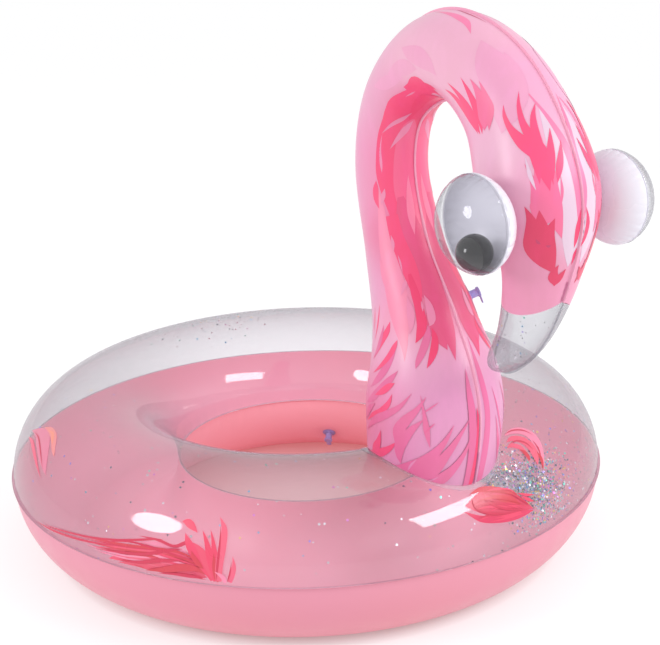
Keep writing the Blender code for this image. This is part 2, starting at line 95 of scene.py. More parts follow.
# Printed strokes: a blade is (ink, (place, degrees, half width in mm), ...) along its middle.
# A place counts the stations; degrees run round a side panel from the gap seam to the outer one.
BOTH_SIDES_PRINT = (
    ("mauve", (6.10, 108, 0), (6.30, 98, 9), (6.55, 92, 12), (6.80, 86, 9), (7.05, 78, 0)),
    ("mauve", (5.65, 88, 0), (5.90, 84, 9), (6.20, 80, 9), (6.45, 76, 0)),
    ("mauve", (5.25, 96, 0), (5.45, 84, 8), (5.70, 76, 7), (5.95, 70, 0)),
    ("mauve", (7.35, 148, 0), (7.60, 138, 17), (7.95, 136, 25), (8.15, 128, 20), (8.35, 116, 0)),
    ("mauve", (7.62, 158, 0), (7.85, 150, 12), (8.10, 140, 15), (8.30, 132, 0)),
    ("streak", (6.35, 166, 0), (6.60, 162, 2.5), (6.85, 159, 4.5), (7.02, 156, 4), (7.20, 146, 0)),
    ("wine", (6.60, 177, 0), (6.85, 173, 1.0), (7.15, 174, 0)),
    ("hot", (7.28, 70, 0), (7.50, 75, 2.6), (7.75, 78, 4.6), (8.00, 82, 4.6), (8.22, 87, 0)),
    ("hot", (7.32, 82, 0), (7.62, 84, 3.2), (7.90, 86, 5.2), (8.10, 88, 4.0), (8.24, 90, 0)),
    ("hot", (7.50, 101, 0), (7.72, 98, 3.2), (7.95, 96, 5.5), (8.12, 95, 4.0), (8.25, 93, 0)),
    ("coral", (7.62, 109, 0), (7.80, 108, 4), (8.00, 105, 9), (8.12, 102, 9), (8.23, 97, 0)),
    ("coral", (7.72, 116, 0), (7.92, 113, 4), (8.08, 110, 7), (8.26, 103, 0)),
    ("coral", (8.68, 131, 0), (8.88, 136, 4), (9.05, 136, 7), (9.20, 130, 0)),
    ("coral", (8.60, 145, 2), (8.80, 145, 9), (9.00, 145, 14), (9.16, 141, 16), (9.28, 133, 4)),
    ("coral", (8.80, 157, 0), (8.96, 154, 4), (9.10, 152, 8), (9.25, 152, 8), (9.46, 158, 0)),
    ("coral", (8.72, 156, 0), (8.84, 153, 1.8), (8.98, 151, 3), (9.10, 149, 0)),
    ("coral", (8.74, 139, 0), (8.86, 139, 1.8), (9.00, 139, 3.5), (9.12, 137, 0)),
    ("coral", (8.86, 161, 0), (9.00, 160, 1.8), (9.12, 158, 0)),
    ("pale", (8.62, 133, 0), (8.80, 134, 2.4), (8.95, 137, 0)),
    ("hot", (8.10, 127, 0), (8.20, 124, 2.2), (8.34, 126, 3.8), (8.50, 134, 7), (8.62, 142, 6)),
    ("hot", (8.05, 147, 0), (8.17, 141, 2.2), (8.33, 139, 3.8), (8.50, 143, 6), (8.60, 145, 5)),
    ("hot", (8.20, 158, 0), (8.30, 151, 2.8), (8.42, 148, 4.5), (8.55, 147, 6), (8.65, 147, 6)),
    ("hot", (8.44, 139, 3), (8.54, 143, 9), (8.64, 146, 10.5), (8.74, 148, 9), (8.84, 148, 6),
     (8.98, 149, 0)),
    ("hot", (8.60, 141, 5), (8.74, 142, 4.5), (8.90, 141, 0)),
    ("hot", (8.66, 150, 3), (8.78, 152, 2.6), (8.93, 153, 0)),
    ("hot", (8.44, 163, 0), (8.60, 158, 4), (8.72, 155, 5), (8.88, 154, 0)),
    ("hot", (8.56, 170, 0), (8.70, 165, 3.4), (8.80, 161, 4), (8.92, 157, 0)),
    ("deep", (9.08, 124, 0), (9.22, 128, 5), (9.40, 130, 12), (9.55, 131, 14), (9.70, 139, 9),
     (9.86, 153, 0)),
    ("deep", (9.14, 137, 0), (9.24, 137, 5), (9.40, 138, 10), (9.58, 141, 9), (9.72, 147, 5),
     (9.86, 154, 0)),
    ("deep", (9.24, 151, 0), (9.32, 147, 4), (9.44, 144, 7), (9.60, 147, 6), (9.82, 153, 1)),
    ("deep", (9.76, 158, 0), (9.84, 154, 4), (9.93, 154, 6), (10.03, 158, 0)),
    ("deep", (9.82, 169, 0), (9.91, 163, 4), (9.98, 158, 4), (10.03, 157, 0)),
    ("wine", (9.44, 131, 0), (9.48, 133, 1.8), (9.50, 136, 0)),
    ("wine", (9.52, 141, 0), (9.53, 144, 1.6), (9.52, 147, 0)),
    ("rim", (10.00, 178, 1.5), (10.12, 177, 1.2), (10.24, 177, 1.0)),
)
PLUME_PRINT = (
    ("band", (3.75, 60, 0), (3.45, 60, 5), (3.10, 62, 9), (2.80, 60, 12), (2.45, 60, 15), (2.15, 61, 13),
     (1.80, 60, 5), (1.60, 61, 0)),
    ("band", (2.95, 74, 0), (2.72, 73, 3.5), (2.50, 68, 5), (2.30, 66, 5), (2.10, 70, 0)),
    ("hot", (6.55, 47, 2), (6.40, 54, 8), (6.22, 57, 9), (6.02, 50, 10), (5.80, 48, 10)),
    ("hot", (6.92, 36, 0), (6.75, 43, 5), (6.50, 45, 8), (6.20, 42, 12), (5.90, 36, 15), (5.60, 38, 16),
     (5.30, 42, 17), (5.05, 36, 18)),
    ("hot", (5.50, 40, 10), (5.20, 40, 17), (4.90, 40, 16), (4.60, 40, 18), (4.25, 41, 18), (4.00, 40, 19),
     (3.75, 38, 17), (3.40, 34, 12), (3.10, 30, 10)),
    ("hot", (6.60, 14, 8), (6.20, 18, 14), (5.70, 20, 19), (5.20, 20, 19), (4.70, 17, 17), (4.20, 16, 14)),
    ("rose", (5.10, 14, 2), (4.80, 15, 11), (4.40, 17, 13), (4.00, 18, 14), (3.60, 19, 14), (3.30, 20, 5)),
    ("rose", (4.35, 4, 3), (4.00, 6, 6), (3.50, 7, 6), (3.10, 8, 4)),
    ("flush", (3.60, 28, 4), (3.30, 24, 14), (3.00, 21, 19), (2.75, 19, 19), (2.45, 17, 17), (2.15, 15, 13),
     (1.85, 13, 9), (1.52, 14, 0)),
    ("flush", (2.30, 24, 2), (2.05, 25, 9), (1.85, 23, 10), (1.65, 19, 0)),
    # Painted highlight: the lighter shine stroke down the neck's front.
    ("shine", (3.92, 12, 0), (3.60, 14, 4), (3.35, 16, 5), (3.12, 17, 0)),
    # Painted shade: a deeper wine stroke under the arch's top stands in for the shade there.
    ("wine_soft", (6.45, 18, 2), (6.15, 25, 7), (5.80, 26, 8), (5.45, 22, 6), (5.05, 20, 0)),
    ("hot", (3.86, 63, 0), (3.75, 65, 4), (3.62, 66, 3.5), (3.50, 63, 0)),
    ("hot", (3.40, 45, 8), (3.15, 43, 9), (2.90, 38, 10), (2.65, 35, 10), (2.40, 34, 7), (2.25, 32, 0)),
    ("deep_rose", (2.62, 37, 2), (2.40, 37, 5), (2.20, 37, 5.5), (2.02, 38, 6.5), (1.90, 42, 5),
     (1.80, 48, 0)),
    ("deep_rose", (1.96, 29, 0), (1.84, 28, 3.5), (1.70, 31, 5), (1.58, 36, 3.5), (1.49, 41, 0)),
    ("band_dark", (2.00, 31, 0), (1.86, 35, 4.5), (1.70, 42, 5), (1.58, 48, 3.5), (1.50, 51, 0)),
    ("slit", (5.30, 22, 0), (5.05, 31, 3), (4.85, 43, 2.2), (4.62, 56, 0)),
    ("slit", (5.05, 13, 0), (4.82, 20, 4.5), (4.62, 29, 3.2), (4.38, 41, 0)),
    ("slit", (5.95, 45, 0), (5.80, 45, 1.2), (5.62, 47, 0)),
    ("slit", (4.62, 55, 0), (4.35, 56, 1.2), (4.12, 54, 1.8), (3.98, 53, 0)),
    ("slit", (3.74, 50, 0), (3.64, 54, 3.2), (3.54, 59, 0)),
    ("slit", (3.18, 51, 0), (3.08, 50, 2.2), (2.98, 51, 0)),
    ("slit", (2.92, 46, 0), (2.80, 45, 1.3), (2.66, 45, 0)),
    ("slit", (2.56, 44, 0), (2.50, 46, 3.2), (2.38, 54, 0)),
    ("slit", (2.32, 28, 0), (2.18, 26, 4.5), (2.04, 27, 5), (1.98, 31, 0)),
    ("slit", (2.26, 33, 0), (2.20, 33, 1.6), (2.14, 34, 0)),
    ("slit", (2.36, 47, 0), (2.18, 47, 5), (2.05, 49, 4), (1.92, 53, 0)),
    ("hot", (6.92, 52, 0), (6.72, 52, 3), (6.50, 53, 3.5), (6.35, 54, 0)),
)
BARB_PRINT = (
    ("hot", (2.36, 88, 0), (2.24, 92, 1.2), (2.08, 98, 1.6), (1.90, 106, 0)),
    ("hot", (2.36, 100, 0), (2.20, 104, 1.4), (2.02, 108, 0)),
    ("hot", (2.12, 74, 0), (2.02, 79, 4.2), (1.92, 87, 5), (1.78, 97, 3), (1.66, 106, 0)),
    ("band_dark", (2.10, 84, 0), (1.95, 90, 3), (1.80, 97, 3.5), (1.65, 108, 0)),
    ("band_dark", (1.84, 68, 0), (1.68, 75, 4), (1.52, 84, 6), (1.38, 95, 5), (1.24, 108, 0)),
    ("hot", (1.88, 67, 0), (1.80, 71, 3.6), (1.68, 79, 4), (1.55, 92, 2.6), (1.46, 104, 0)),
    ("band_dark", (1.50, 68, 0), (1.38, 78, 5), (1.25, 90, 5.5), (1.10, 102, 5), (0.98, 114, 0)),
    ("hot", (1.35, 72, 0), (1.31, 78, 4), (1.24, 86, 4.5), (1.16, 97, 0)),
    ("hot", (1.22, 75, 0), (1.10, 79, 3.6), (0.98, 88, 4.2), (0.88, 100, 3), (0.74, 112, 0)),
    ("band_dark", (1.24, 56, 0), (1.08, 68, 3.2), (0.96, 82, 5), (0.84, 96, 5), (0.62, 114, 0)),
    ("band_dark", (1.05, 96, 0), (0.96, 104, 4), (0.84, 112, 5), (0.70, 120, 0)),
    ("hot", (0.76, 88, 0), (0.62, 91, 5), (0.48, 97, 7), (0.30, 97, 0)),
    ("hot", (0.72, 70, 0), (0.60, 79, 4), (0.50, 90, 6), (0.42, 101, 5), (0.36, 112, 0)),
    ("band_dark", (1.20, 44, 0), (1.06, 53, 3.6), (0.94, 63, 7), (0.82, 70, 7), (0.70, 72, 0)),
    ("band_dark", (0.98, 47, 0), (0.86, 58, 5), (0.70, 67, 8), (0.58, 68, 5), (0.50, 66, 0)),
    ("band_dark", (1.14, 34, 0), (1.08, 42, 1.2), (1.02, 50, 0)),
    ("band_dark", (1.22, 49, 0), (1.05, 47, 1.8), (0.88, 45, 4), (0.72, 42, 0)),
    ("thin_rose", (0.95, 38, 0), (0.90, 43, 1.2), (0.85, 47, 0)),
    ("band_dark", (0.93, 23, 0), (0.76, 32, 4), (0.60, 44, 8), (0.48, 58, 9), (0.42, 76, 0)),
    ("band_dark", (0.97, 9, 0), (0.82, 19, 3), (0.66, 29, 6), (0.48, 41, 10), (0.34, 55, 4)),
    ("band_dark", (0.88, 7, 0), (0.72, 11, 2), (0.55, 20, 5), (0.40, 32, 8), (0.27, 45, 3)),
    ("band_dark", (0.58, 48, 4), (0.48, 52, 9), (0.38, 56, 9), (0.30, 62, 0)),
    ("slit_mauve", (0.60, 52, 0), (0.52, 57, 1.6), (0.44, 60, 0)),
    ("slit_mauve", (0.44, 33, 0), (0.38, 40, 1.4), (0.33, 46, 0)),
    ("hot_soft", (1.42, 7, 0), (1.20, 8, 3.5), (0.95, 7, 5.5), (0.65, 6, 6), (0.40, 6, 7), (0.16, 9, 5)),
    ("deep_rose", (1.04, 2.5, 0), (0.90, 1.5, 2.2), (0.65, 1.5, 3.2), (0.40, 3, 3.2), (0.16, 6, 1.5)),
)
LEFT_BREAST_PRINT = (
    ("hot", (2.60, 20, 3), (2.30, 20, 11), (2.00, 19, 13), (1.75, 16, 9), (1.50, 13, 0)),
    ("hot_soft", (1.75, 6, 0), (1.50, 6, 2.6), (1.25, 7, 4.5), (0.95, 9, 5), (0.60, 8, 6), (0.18, 6, 4)),
    ("deep", (2.55, 50, 0), (2.20, 50, 1.6), (1.90, 52, 1.4), (1.62, 54, 0)),
    ("thin_rose", (1.18, 18, 0), (0.98, 23, 1.6), (0.80, 30, 1.8), (0.62, 40, 0)),
    ("thin_rose", (0.92, 20, 0), (0.72, 26, 3), (0.52, 33, 4), (0.32, 38, 0)),
    ("thin_rose", (1.20, 34, 0), (1.00, 41, 2.5), (0.78, 50, 3), (0.60, 60, 0)),
)
RIGHT_FACE_PRINT = (
    ("pale", (8.22, 160, 0), (8.40, 163, 7), (8.70, 166, 14), (9.00, 168, 15), (9.30, 168, 14),
     (9.60, 170, 8), (9.80, 171, 0)),
    ("streak", (8.00, 152, 0), (8.15, 157, 1.0), (8.35, 165, 2.4), (8.60, 173, 4.5), (8.90, 176, 5),
     (9.20, 177, 4), (9.45, 178, 0)),
    ("deep_rose", (9.18, 179, 0), (9.34, 176, 3), (9.48, 175, 2.6), (9.58, 174, 0)),
    ("deep_rose", (9.58, 178, 0), (9.66, 177, 2.4), (9.78, 176, 0)),
)
LEFT_FACE_PRINT = (
    ("pale", (8.25, 172, 0), (8.45, 168, 5), (8.75, 166, 11), (9.10, 164, 13), (9.45, 166, 10),
     (9.80, 170, 0)),
    ("streak", (8.15, 172, 0), (8.40, 174, 2.4), (8.70, 177, 2.6), (9.00, 175, 3), (9.30, 177, 0)),
    ("streak", (8.18, 170, 0), (8.34, 160, 2.6), (8.60, 152, 4.2), (8.90, 145, 5), (9.25, 143, 5),
     (9.60, 149, 3.5), (9.90, 156, 0)),
    ("thin_rose", (8.48, 161, 0), (8.62, 155, 2), (8.76, 150, 0)),
    ("thin_rose", (8.63, 167, 0), (8.76, 159, 2.4), (8.92, 149, 0)),
    ("deep_rose", (9.18, 175, 0), (9.34, 171, 3.2), (9.50, 173, 2.4), (9.58, 177, 0)),
    ("deep", (9.68, 149, 0), (9.82, 154, 4), (9.94, 160, 4), (10.04, 168, 0)),
)

# Ring prints: a blade is (ink, (degrees round, degrees up, half width in mm), ...) along its middle.
# Degrees round run from the ring's front; degrees up climb the section from the outer seam.
WING_PRINT = (
    ("coral_deep", (-68, 3, 0), (-64, 8, 8), (-60, 12, 14), (-56, 14, 15), (-52, 12, 11), (-50, 8, 4)),
    ("coral_deep", (-66, 2.5, 0), (-61, 5, 4), (-56, 6, 7), (-51, 6, 7), (-49, 4, 0)),
    ("band", (-62, 19, 0), (-58, 20, 4), (-54, 18, 5), (-51, 15, 0)),
    ("ring_line", (-89, 3, 0), (-84, 4.5, 1.4), (-77, 7.5, 1.6), (-70, 11, 1.2), (-65, 14, 0)),
    ("ring_line", (-86, 5, 0), (-80, 8.5, 1.0), (-72, 13, 1.2), (-66, 17, 1.4), (-60, 22, 1.4),
     (-57, 24, 0)),
    ("ring_line", (-71, 7, 0), (-65, 10, 1.5), (-60, 13, 2.0), (-56, 18, 2.0), (-53.5, 20, 0)),
    ("ring_line", (-66, 4, 0), (-61, 7, 2.0), (-57, 11, 2.6), (-53, 13, 0)),
    ("ring_red", (-60, 2.5, 0), (-56, 6, 4), (-53, 9, 5), (-50.5, 9, 3), (-49, 6, 0)),
    ("ring_line", (-62, 23, 0), (-58, 23, 1.6), (-55, 21, 1.8), (-53, 24, 2.4), (-52, 26, 0)),
    ("ring_line", (-58, 2.2, 0), (-54, 4, 1.6), (-51, 4, 1.6), (-49, 3, 0)),
    ("leaf", (-54.2, 36.5, 0), (-53.2, 36.5, 4.5), (-52.2, 34.5, 4.5), (-51, 31, 0)),
    ("leaf", (-53.2, 30, 0), (-52.3, 24, 5), (-50.8, 17, 6.5), (-49, 10, 6), (-48, 3, 2)),
    ("coral_deep", (-51.6, 25, 0), (-50.2, 21, 4), (-48.8, 14, 7), (-47.4, 3, 3)),
    ("leaf", (-50.2, 33, 0), (-49.2, 26, 3), (-48.3, 16, 5), (-47.4, 3, 3)),
    ("leaf", (-48.8, 34, 0), (-48.1, 27, 2.2), (-47.6, 18, 4), (-47.0, 3, 3)),
    ("ring_red", (-47.8, 20, 0), (-47.6, 12, 3), (-47.2, 5, 3.4), (-47.0, 2.5, 1)),
    ("leaf_light", (-47.5, 42, 0), (-46.4, 35, 3.6), (-46.4, 25, 5), (-46.8, 13, 5), (-46.9, 3, 4)),
    ("ring_line", (-47.1, 38, 0), (-46.9, 26, 1.2), (-47.1, 12, 1.6), (-47.3, 3, 0)),
    ("leaf_light", (-44.7, 19, 0), (-44.4, 13, 2.6), (-44.8, 7, 4), (-45.2, 2.5, 3)),
    ("ring_line", (-44.8, 16, 0), (-45.1, 8, 1.1), (-45.6, 2.5, 0)),
    ("ring_red", (-51.7, 20, 0), (-51.2, 16, 3.2), (-50.2, 12, 3), (-49.4, 10, 0)),
    ("band", (-47.6, 9, 0), (-46.2, 6, 3), (-45.8, 2.5, 2)),
)
TUFT_PRINT = (
    ("tuft", (-3.6, 36, 0), (-1.4, 35, 10), (1.0, 34, 17), (4.0, 32, 18), (7.0, 27, 13), (10.8, 19, 0)),
    ("deep", (-4.2, 33, 0), (-1.5, 26, 4), (1.5, 22.5, 5), (5.0, 20, 5), (8.0, 19, 4), (11.0, 18, 0)),
    ("ring_red", (-2.0, 42, 0), (0.5, 43, 3), (3.0, 41, 4), (6.0, 36, 4), (8.5, 30, 0)),
    ("ring_red", (2.0, 38, 0), (4.5, 33, 5), (6.5, 29, 6), (8.0, 25, 0)),
    ("ring_line", (-1.6, 40, 0), (-1.8, 34, 1.2), (-0.4, 29, 1.4), (2.5, 25, 1.4), (5.0, 23, 0)),
    ("ring_line", (0.5, 37, 0), (2.0, 31, 1.4), (4.5, 26, 1.6), (7.5, 22, 0)),
    ("ring_line", (6.5, 34, 0), (8.5, 28, 1.8), (10.0, 22, 0)),
    ("leaf", (8.6, 30, 0), (10.0, 26, 2.6), (11.4, 23, 0)),
    ("leaf", (7.8, 33, 0), (10.0, 29, 2.0), (12.0, 27, 0)),
    ("band", (15.6, 71, 0), (18.6, 71, 5), (21.0, 67, 8), (21.6, 60, 9), (20.6, 52, 7), (19.2, 45, 4),
     (17.6, 38, 0)),
    ("leaf_light", (14.2, 66, 0), (16.6, 66, 5), (18.4, 61, 8), (18.6, 54, 8), (17.6, 47, 5),
     (16.6, 42, 0)),
    ("leaf_light", (13.0, 62, 0), (14.6, 62, 4), (16.0, 58, 4.5), (16.4, 53, 0)),
    ("ring_line", (15.8, 72, 0), (19.0, 71.5, 1.2), (21.4, 67, 1.4), (22.2, 60, 0)),
    ("ring_line", (14.6, 64, 0), (17.0, 63, 1.4), (18.4, 58, 1.6), (18.4, 52, 0)),
    ("ring_red", (15.2, 57, 0), (15.8, 54, 3.4), (15.8, 50, 3.4), (15.2, 47, 0)),
    ("ring_red", (19.0, 50, 0), (18.8, 46, 2.6), (18.2, 42, 2.6), (17.4, 38, 0)),
    ("ring_line", (20.6, 58, 0), (20.0, 51, 1.4), (18.8, 45, 0)),
)

TAIL_PRINT = (
    ("tail_pink", (-108, 44, 0), (-104, 49, 8), (-100, 49, 13), (-95, 43, 10), (-90, 34, 0)),
    ("apricot_soft", (-104, 54, 0), (-101, 57, 4), (-97, 56, 5), (-93, 50, 3), (-91, 47, 0)),
    ("apricot", (-102, 55, 0), (-99, 57, 2), (-97, 55, 2.5), (-95, 52, 0)),
    ("leaf_light", (-107, 40, 0), (-103, 41, 3), (-97, 37, 2.5), (-91, 30, 0)),
    ("ring_line", (-106, 46, 0), (-102, 47, 1.0), (-97, 43, 1.0), (-92, 36, 0)),
)

# Soft dye under the strokes, as (place, degrees, reach in m, colour)
DYE_SPOTS = (
    (0.6, 40, 0.075, (0.890, 0.600, 0.775)),
    (1.2, 30, 0.045, (0.875, 0.600, 0.770)),
    (1.7, 62, 0.045, (0.940, 0.705, 0.825)),
    (2.2, 60, 0.035, (0.985, 0.640, 0.760)),
    (1.6, 5, 0.035, (0.935, 0.670, 0.805)),
    (0.9, 100, 0.055, (0.945, 0.520, 0.690)),
    (2.6, 100, 0.045, (0.925, 0.700, 0.835)),
    (4.0, 100, 0.060, (0.930, 0.650, 0.800)),
    (5.2, 85, 0.045, (0.925, 0.680, 0.810)),
    (6.4, 125, 0.070, (0.950, 0.725, 0.830)),
    (7.2, 115, 0.060, (0.950, 0.715, 0.820)),
    (7.9, 160, 0.045, (0.950, 0.690, 0.830)),
    (8.5, 108, 0.040, (0.950, 0.755, 0.855)),
    (8.9, 116, 0.030, (0.935, 0.690, 0.800)),
    (9.5, 100, 0.045, (0.920, 0.590, 0.715)),
    (10.2, 120, 0.050, (0.925, 0.600, 0.725)),
    (9.2, 172, 0.035, (0.900, 0.800, 0.890)),
    (5.4, 10, 0.040, (0.900, 0.360, 0.500)),
    (4.0, 5, 0.050, (0.985, 0.450, 0.620)),
    (3.0, 15, 0.055, (0.930, 0.370, 0.540)),
    (2.2, 12, 0.040, (0.965, 0.440, 0.620)),
)

INKS = {
    "hot": (0.995, 0.350, 0.530),
    "deep": (0.895, 0.270, 0.420),
    "deep_rose": (0.975, 0.290, 0.480),
    "coral": (0.975, 0.480, 0.640),
    "coral_deep": (0.945, 0.370, 0.480),
    "rose": (0.985, 0.450, 0.610),
    "flush": (0.930, 0.390, 0.560),
    "band": (0.985, 0.590, 0.715),
    "band_dark": (0.925, 0.465, 0.655),
    "hot_soft": (0.915, 0.455, 0.650),
    "thin_rose": (0.930, 0.430, 0.630),
    "streak": (0.985, 0.530, 0.700),
    "mauve": (0.945, 0.670, 0.805),
    "pale": (0.905, 0.810, 0.895),
    "slit": (0.955, 0.590, 0.730),
    "slit_mauve": (0.925, 0.590, 0.760),
    # Painted highlight, used for the shine stroke on the neck's front.
    "shine": (0.995, 0.560, 0.690),
    "wine": (0.800, 0.290, 0.450),
    # Painted shade under the arch's top.
    "wine_soft": (0.985, 0.330, 0.500),
    "rim": (0.790, 0.480, 0.620),
    "ring_line": (0.850, 0.250, 0.370),
    "ring_red": (0.860, 0.290, 0.350),
    "apricot": (0.990, 0.620, 0.540),
    "apricot_soft": (0.960, 0.600, 0.600),
    "tail_pink": (0.915, 0.545, 0.650),
    "tuft": (0.890, 0.310, 0.430),
    "leaf": (0.950, 0.320, 0.450),
    "leaf_light": (0.965, 0.430, 0.540),
}

WELD_GAP = 0.0003


# ---------------------------------------------------------------- sizes and colours

def length(name, value, about):
    """Return a property for a length in metres."""
    return FloatProperty(name=name, description=about, default=value, min=0.0, unit="LENGTH", precision=4)


def paint(name, value, about):
    """Return a property for a colour as it is seen on screen."""
    return FloatVectorProperty(name=name, description=about, default=value, subtype="COLOR_GAMMA", min=0.0,
                               max=1.0)


def count(name, value, about):
    """Return a property for a number of things."""
    return IntProperty(name=name, description=about, default=value, min=1)


class RingSizes(PropertyGroup):
    """Sizes of the ring chamber's two sheets."""

    film: length("Film", 0.0004, "Thickness of every film")
    fin: length("Weld fin", 0.003, "Width of the welded edge outside a chamber")
    crest_radius: length("Crest radius", 0.328, "From the ring's middle to the top of its crest")
    hole_radius: length("Hole radius", 0.196, "From the ring's middle to the hole's weld edge")
    tuck_depth: length("Tuck depth", 0.0011, "How far the film is pulled in beside the hole's weld")
    steps: count("Steps", 360, "Faces round the ring")
    rows: count("Rows", 52, "Faces across each sheet")


class NeckSizes(PropertyGroup):
    """Sizes of the neck's and the beak's panels."""

    foot_forward: length("Foot forward", 0.315, "From the ring's middle forward to the neck's foot")
    base_margin: length("Base margin", 0.010, "How far the welded base sheet shows round the foot")
    tuck_depth: length("Tuck depth", 0.0016, "How far the film is pulled in beside the seams")
    print_lift: length("Print lift", 0.00012, "Height of the ink above the film")
    print_step: length("Print step", 0.00009, "Height of one layer of ink above the last")
    facet: length("Facet", 0.005, "Longest facet of a printed stroke")
    ink: length("Ink", 0.00004, "Thickness of the ink")
    rows: count("Rows", 340, "Faces up each side panel")
    columns: count("Columns", 60, "Faces round each side panel")
    beak_rows: count("Beak rows", 70, "Faces along each beak panel")


class EyeSizes(PropertyGroup):
    """Sizes of the eyes."""

    radius: length("Radius", 0.0555, "Radius of an eye at its seam")
    dome_depth: length("Dome depth", 0.037, "Height of each dome")
    weld_radius: length("Weld radius", 0.016, "Radius of the flat patch welded to the head")
    fin: length("Weld fin", 0.0015, "Width of the welded edge")
    gather_depth: length("Gather depth", 0.0040, "Depth of the gathers beside the seam")
    gathers: count("Gathers", 26, "Gathers round each eye")
    steps: count("Steps", 208, "Faces round an eye")
    rows: count("Rows", 28, "Faces from the seam to the pole")


class ValveSizes(PropertyGroup):
    """Sizes of the two inflation valves."""

    flange_radius: length("Flange radius", 0.011, "Radius of the welded flange")
    flange_thickness: length("Flange thickness", 0.0008, "Thickness of the flange")
    hub_radius: length("Hub radius", 0.0078, "Radius of the raised hub")
    hub_height: length("Hub height", 0.003, "Height of the raised hub")
    stem_radius: length("Stem radius", 0.0055, "Outer radius of the stem")
    bore: length("Bore", 0.0042, "Inner radius of the stem")
    outside: length("Outside", 0.0145, "How far the stem stands out")
    inside: length("Inside", 0.009, "How far the stem reaches in")
    lip_radius: length("Lip radius", 0.0070, "Radius of the stem's lip")
    lip: length("Lip", 0.0012, "Thickness of the lip")
    flap_radius: length("Flap radius", 0.0050, "Radius of the non-return flap")
    flap: length("Flap", 0.0008, "Thickness of the flap")
    plug: length("Plug", 0.008, "Length of the stopper's plug")
    cap: length("Cap", 0.0015, "Thickness of the stopper's cap")
    tab_length: length("Tab length", 0.010, "Length of the stopper's pull tab")
    tab_width: length("Tab width", 0.008, "Width of the pull tab")
    steps: count("Steps", 48, "Faces round a valve")


class GlitterSizes(PropertyGroup):
    """Sizes and numbers of the loose glitter."""

    flake: length("Flake", 0.0015, "Radius of the largest flakes")
    thickness: length("Thickness", 0.00005, "Thickness of a flake")
    heap_flakes: count("Heap flakes", 2200, "Flakes on the heap")
    clinging_flakes: count("Clinging flakes", 520, "Flakes that cling to the ring's films")
    beak_flakes: count("Beak flakes", 40, "Flakes in the beak")


class Colours(PropertyGroup):
    """Colours of the materials."""

    pink: paint("Pink film", (0.865, 0.560, 0.635), "The ring's lower sheet outside")
    # Painted light: the lower sheet in the hole is given a lighter pink, as if lit through the chamber.
    pink_hole_painted_light: paint("Pink hole", (0.990, 0.690, 0.745),
                     "The lower sheet inside the hole, lit through the chamber")
    clear: paint("Clear film", (0.988, 0.988, 0.992), "Tint of each face of the clear film")
    clear_edge: paint("Clear film edge", (0.890, 0.888, 0.896), "Tint of the clear film seen on edge")
    # Painted light: the pink sheet's inner face is given a lighter pink, as if lit through the film.
    pink_inside_painted_light: paint("Pink inside", (0.990, 0.690, 0.765),
                       "The pink sheet's inner face, lit through the film")
    milk: paint("Milk", (0.900, 0.860, 0.905), "Haze in the clear film")
    eye_white: paint("Eye white", (0.885, 0.880, 0.915), "The eyes' white film")
    pupil: paint("Pupil", (0.045, 0.052, 0.060), "The loose balls")
    valve: paint("Valve lilac", (0.600, 0.570, 0.810), "The soft valves")
    print_tone: paint("Print tone", (0.930, 0.920, 0.905), "Depth of the whole print")
    # Painted light: the weld fins are given a lighter pink that cancels the shade between them.
    neck_weld_painted_light: paint("Neck weld", (1.000, 0.740, 0.850), "The neck's welded edges")
    neck: paint("Neck pink", (0.945, 0.700, 0.825), "The neck's film before its dye spots")
    glitter: paint("Glitter", (0.900, 0.860, 0.920), "The glitter's silver")
    floor: paint("Floor", (0.700, 0.700, 0.700), "The pale floor")


class StageSizes(PropertyGroup):
    """Places of the camera and the lights, seen from the ring."""

    distance: length("Camera distance", 2.2, "From the ring's foot to the camera")
    lens: FloatProperty(name="Lens", description="Focal length in millimetres", default=74.84, min=1.0)
    room: FloatProperty(name="Room light", description="Strength of the room's walls", default=0.85, min=0.0)
    ceiling: FloatProperty(name="Ceiling", description="Strength of the room's ceiling", default=0.95,
                           min=0.0)
    table: FloatProperty(name="Table", description="Strength of the lit table round the ring", default=0.58,
                         min=0.0)
    softbox: FloatProperty(name="Softbox", description="Power of each softbox in watts", default=16.0,
                           min=0.0)


GROUPS = {
    "ring_sizes": RingSizes,
    "neck_sizes": NeckSizes,
    "eye_sizes": EyeSizes,
    "valve_sizes": ValveSizes,
    "glitter_sizes": GlitterSizes,
    "float_colours": Colours,
    "stage_sizes": StageSizes,
}


def linear(colour):
    """Return a screen colour as the linear RGBA that shaders take."""
    return tuple(c / 12.92 if c <= 0.04045 else ((c + 0.055) / 1.055) ** 2.4 for c in colour) + (1.0,)


# ---------------------------------------------------------------- mesh helpers

def finish_piece(name, bm, finish, body="float", replaces=(), sharp=35.0):
    """Turn a bmesh into a smooth-shaded piece that rides on a body."""
    mesh = bpy.data.meshes.new(name)
    bm.to_mesh(mesh)
    bm.free()
    mesh.shade_smooth()
    mesh.set_sharp_from_angle(angle=math.radians(sharp))
    mesh.materials.append(finish)
    piece = bpy.data.objects.new(name, mesh)
    bpy.context.scene.collection.objects.link(piece)
    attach(piece, body)
    if replaces:
        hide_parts(*replaces)
    return piece


def spun(outline, steps, closed=False):
    """Spin an outline of (radius, height) points round Z, leaving out edges along the axis."""
    bm = bmesh.new()
    verts = [bm.verts.new((radius, 0.0, height)) for radius, height in outline]
    pairs = zip(verts, verts[1:] + verts[:1]) if closed else zip(verts, verts[1:])
    edges = [bm.edges.new(pair) for pair in pairs if max(pair[0].co.x, pair[1].co.x) > 1e-9]
    bmesh.ops.spin(bm, geom=verts + edges, axis=(0, 0, 1), cent=(0, 0, 0), angle=math.tau, steps=steps,
                   use_merge=True)
    bmesh.ops.remove_doubles(bm, verts=bm.verts, dist=1e-6)
    return bm


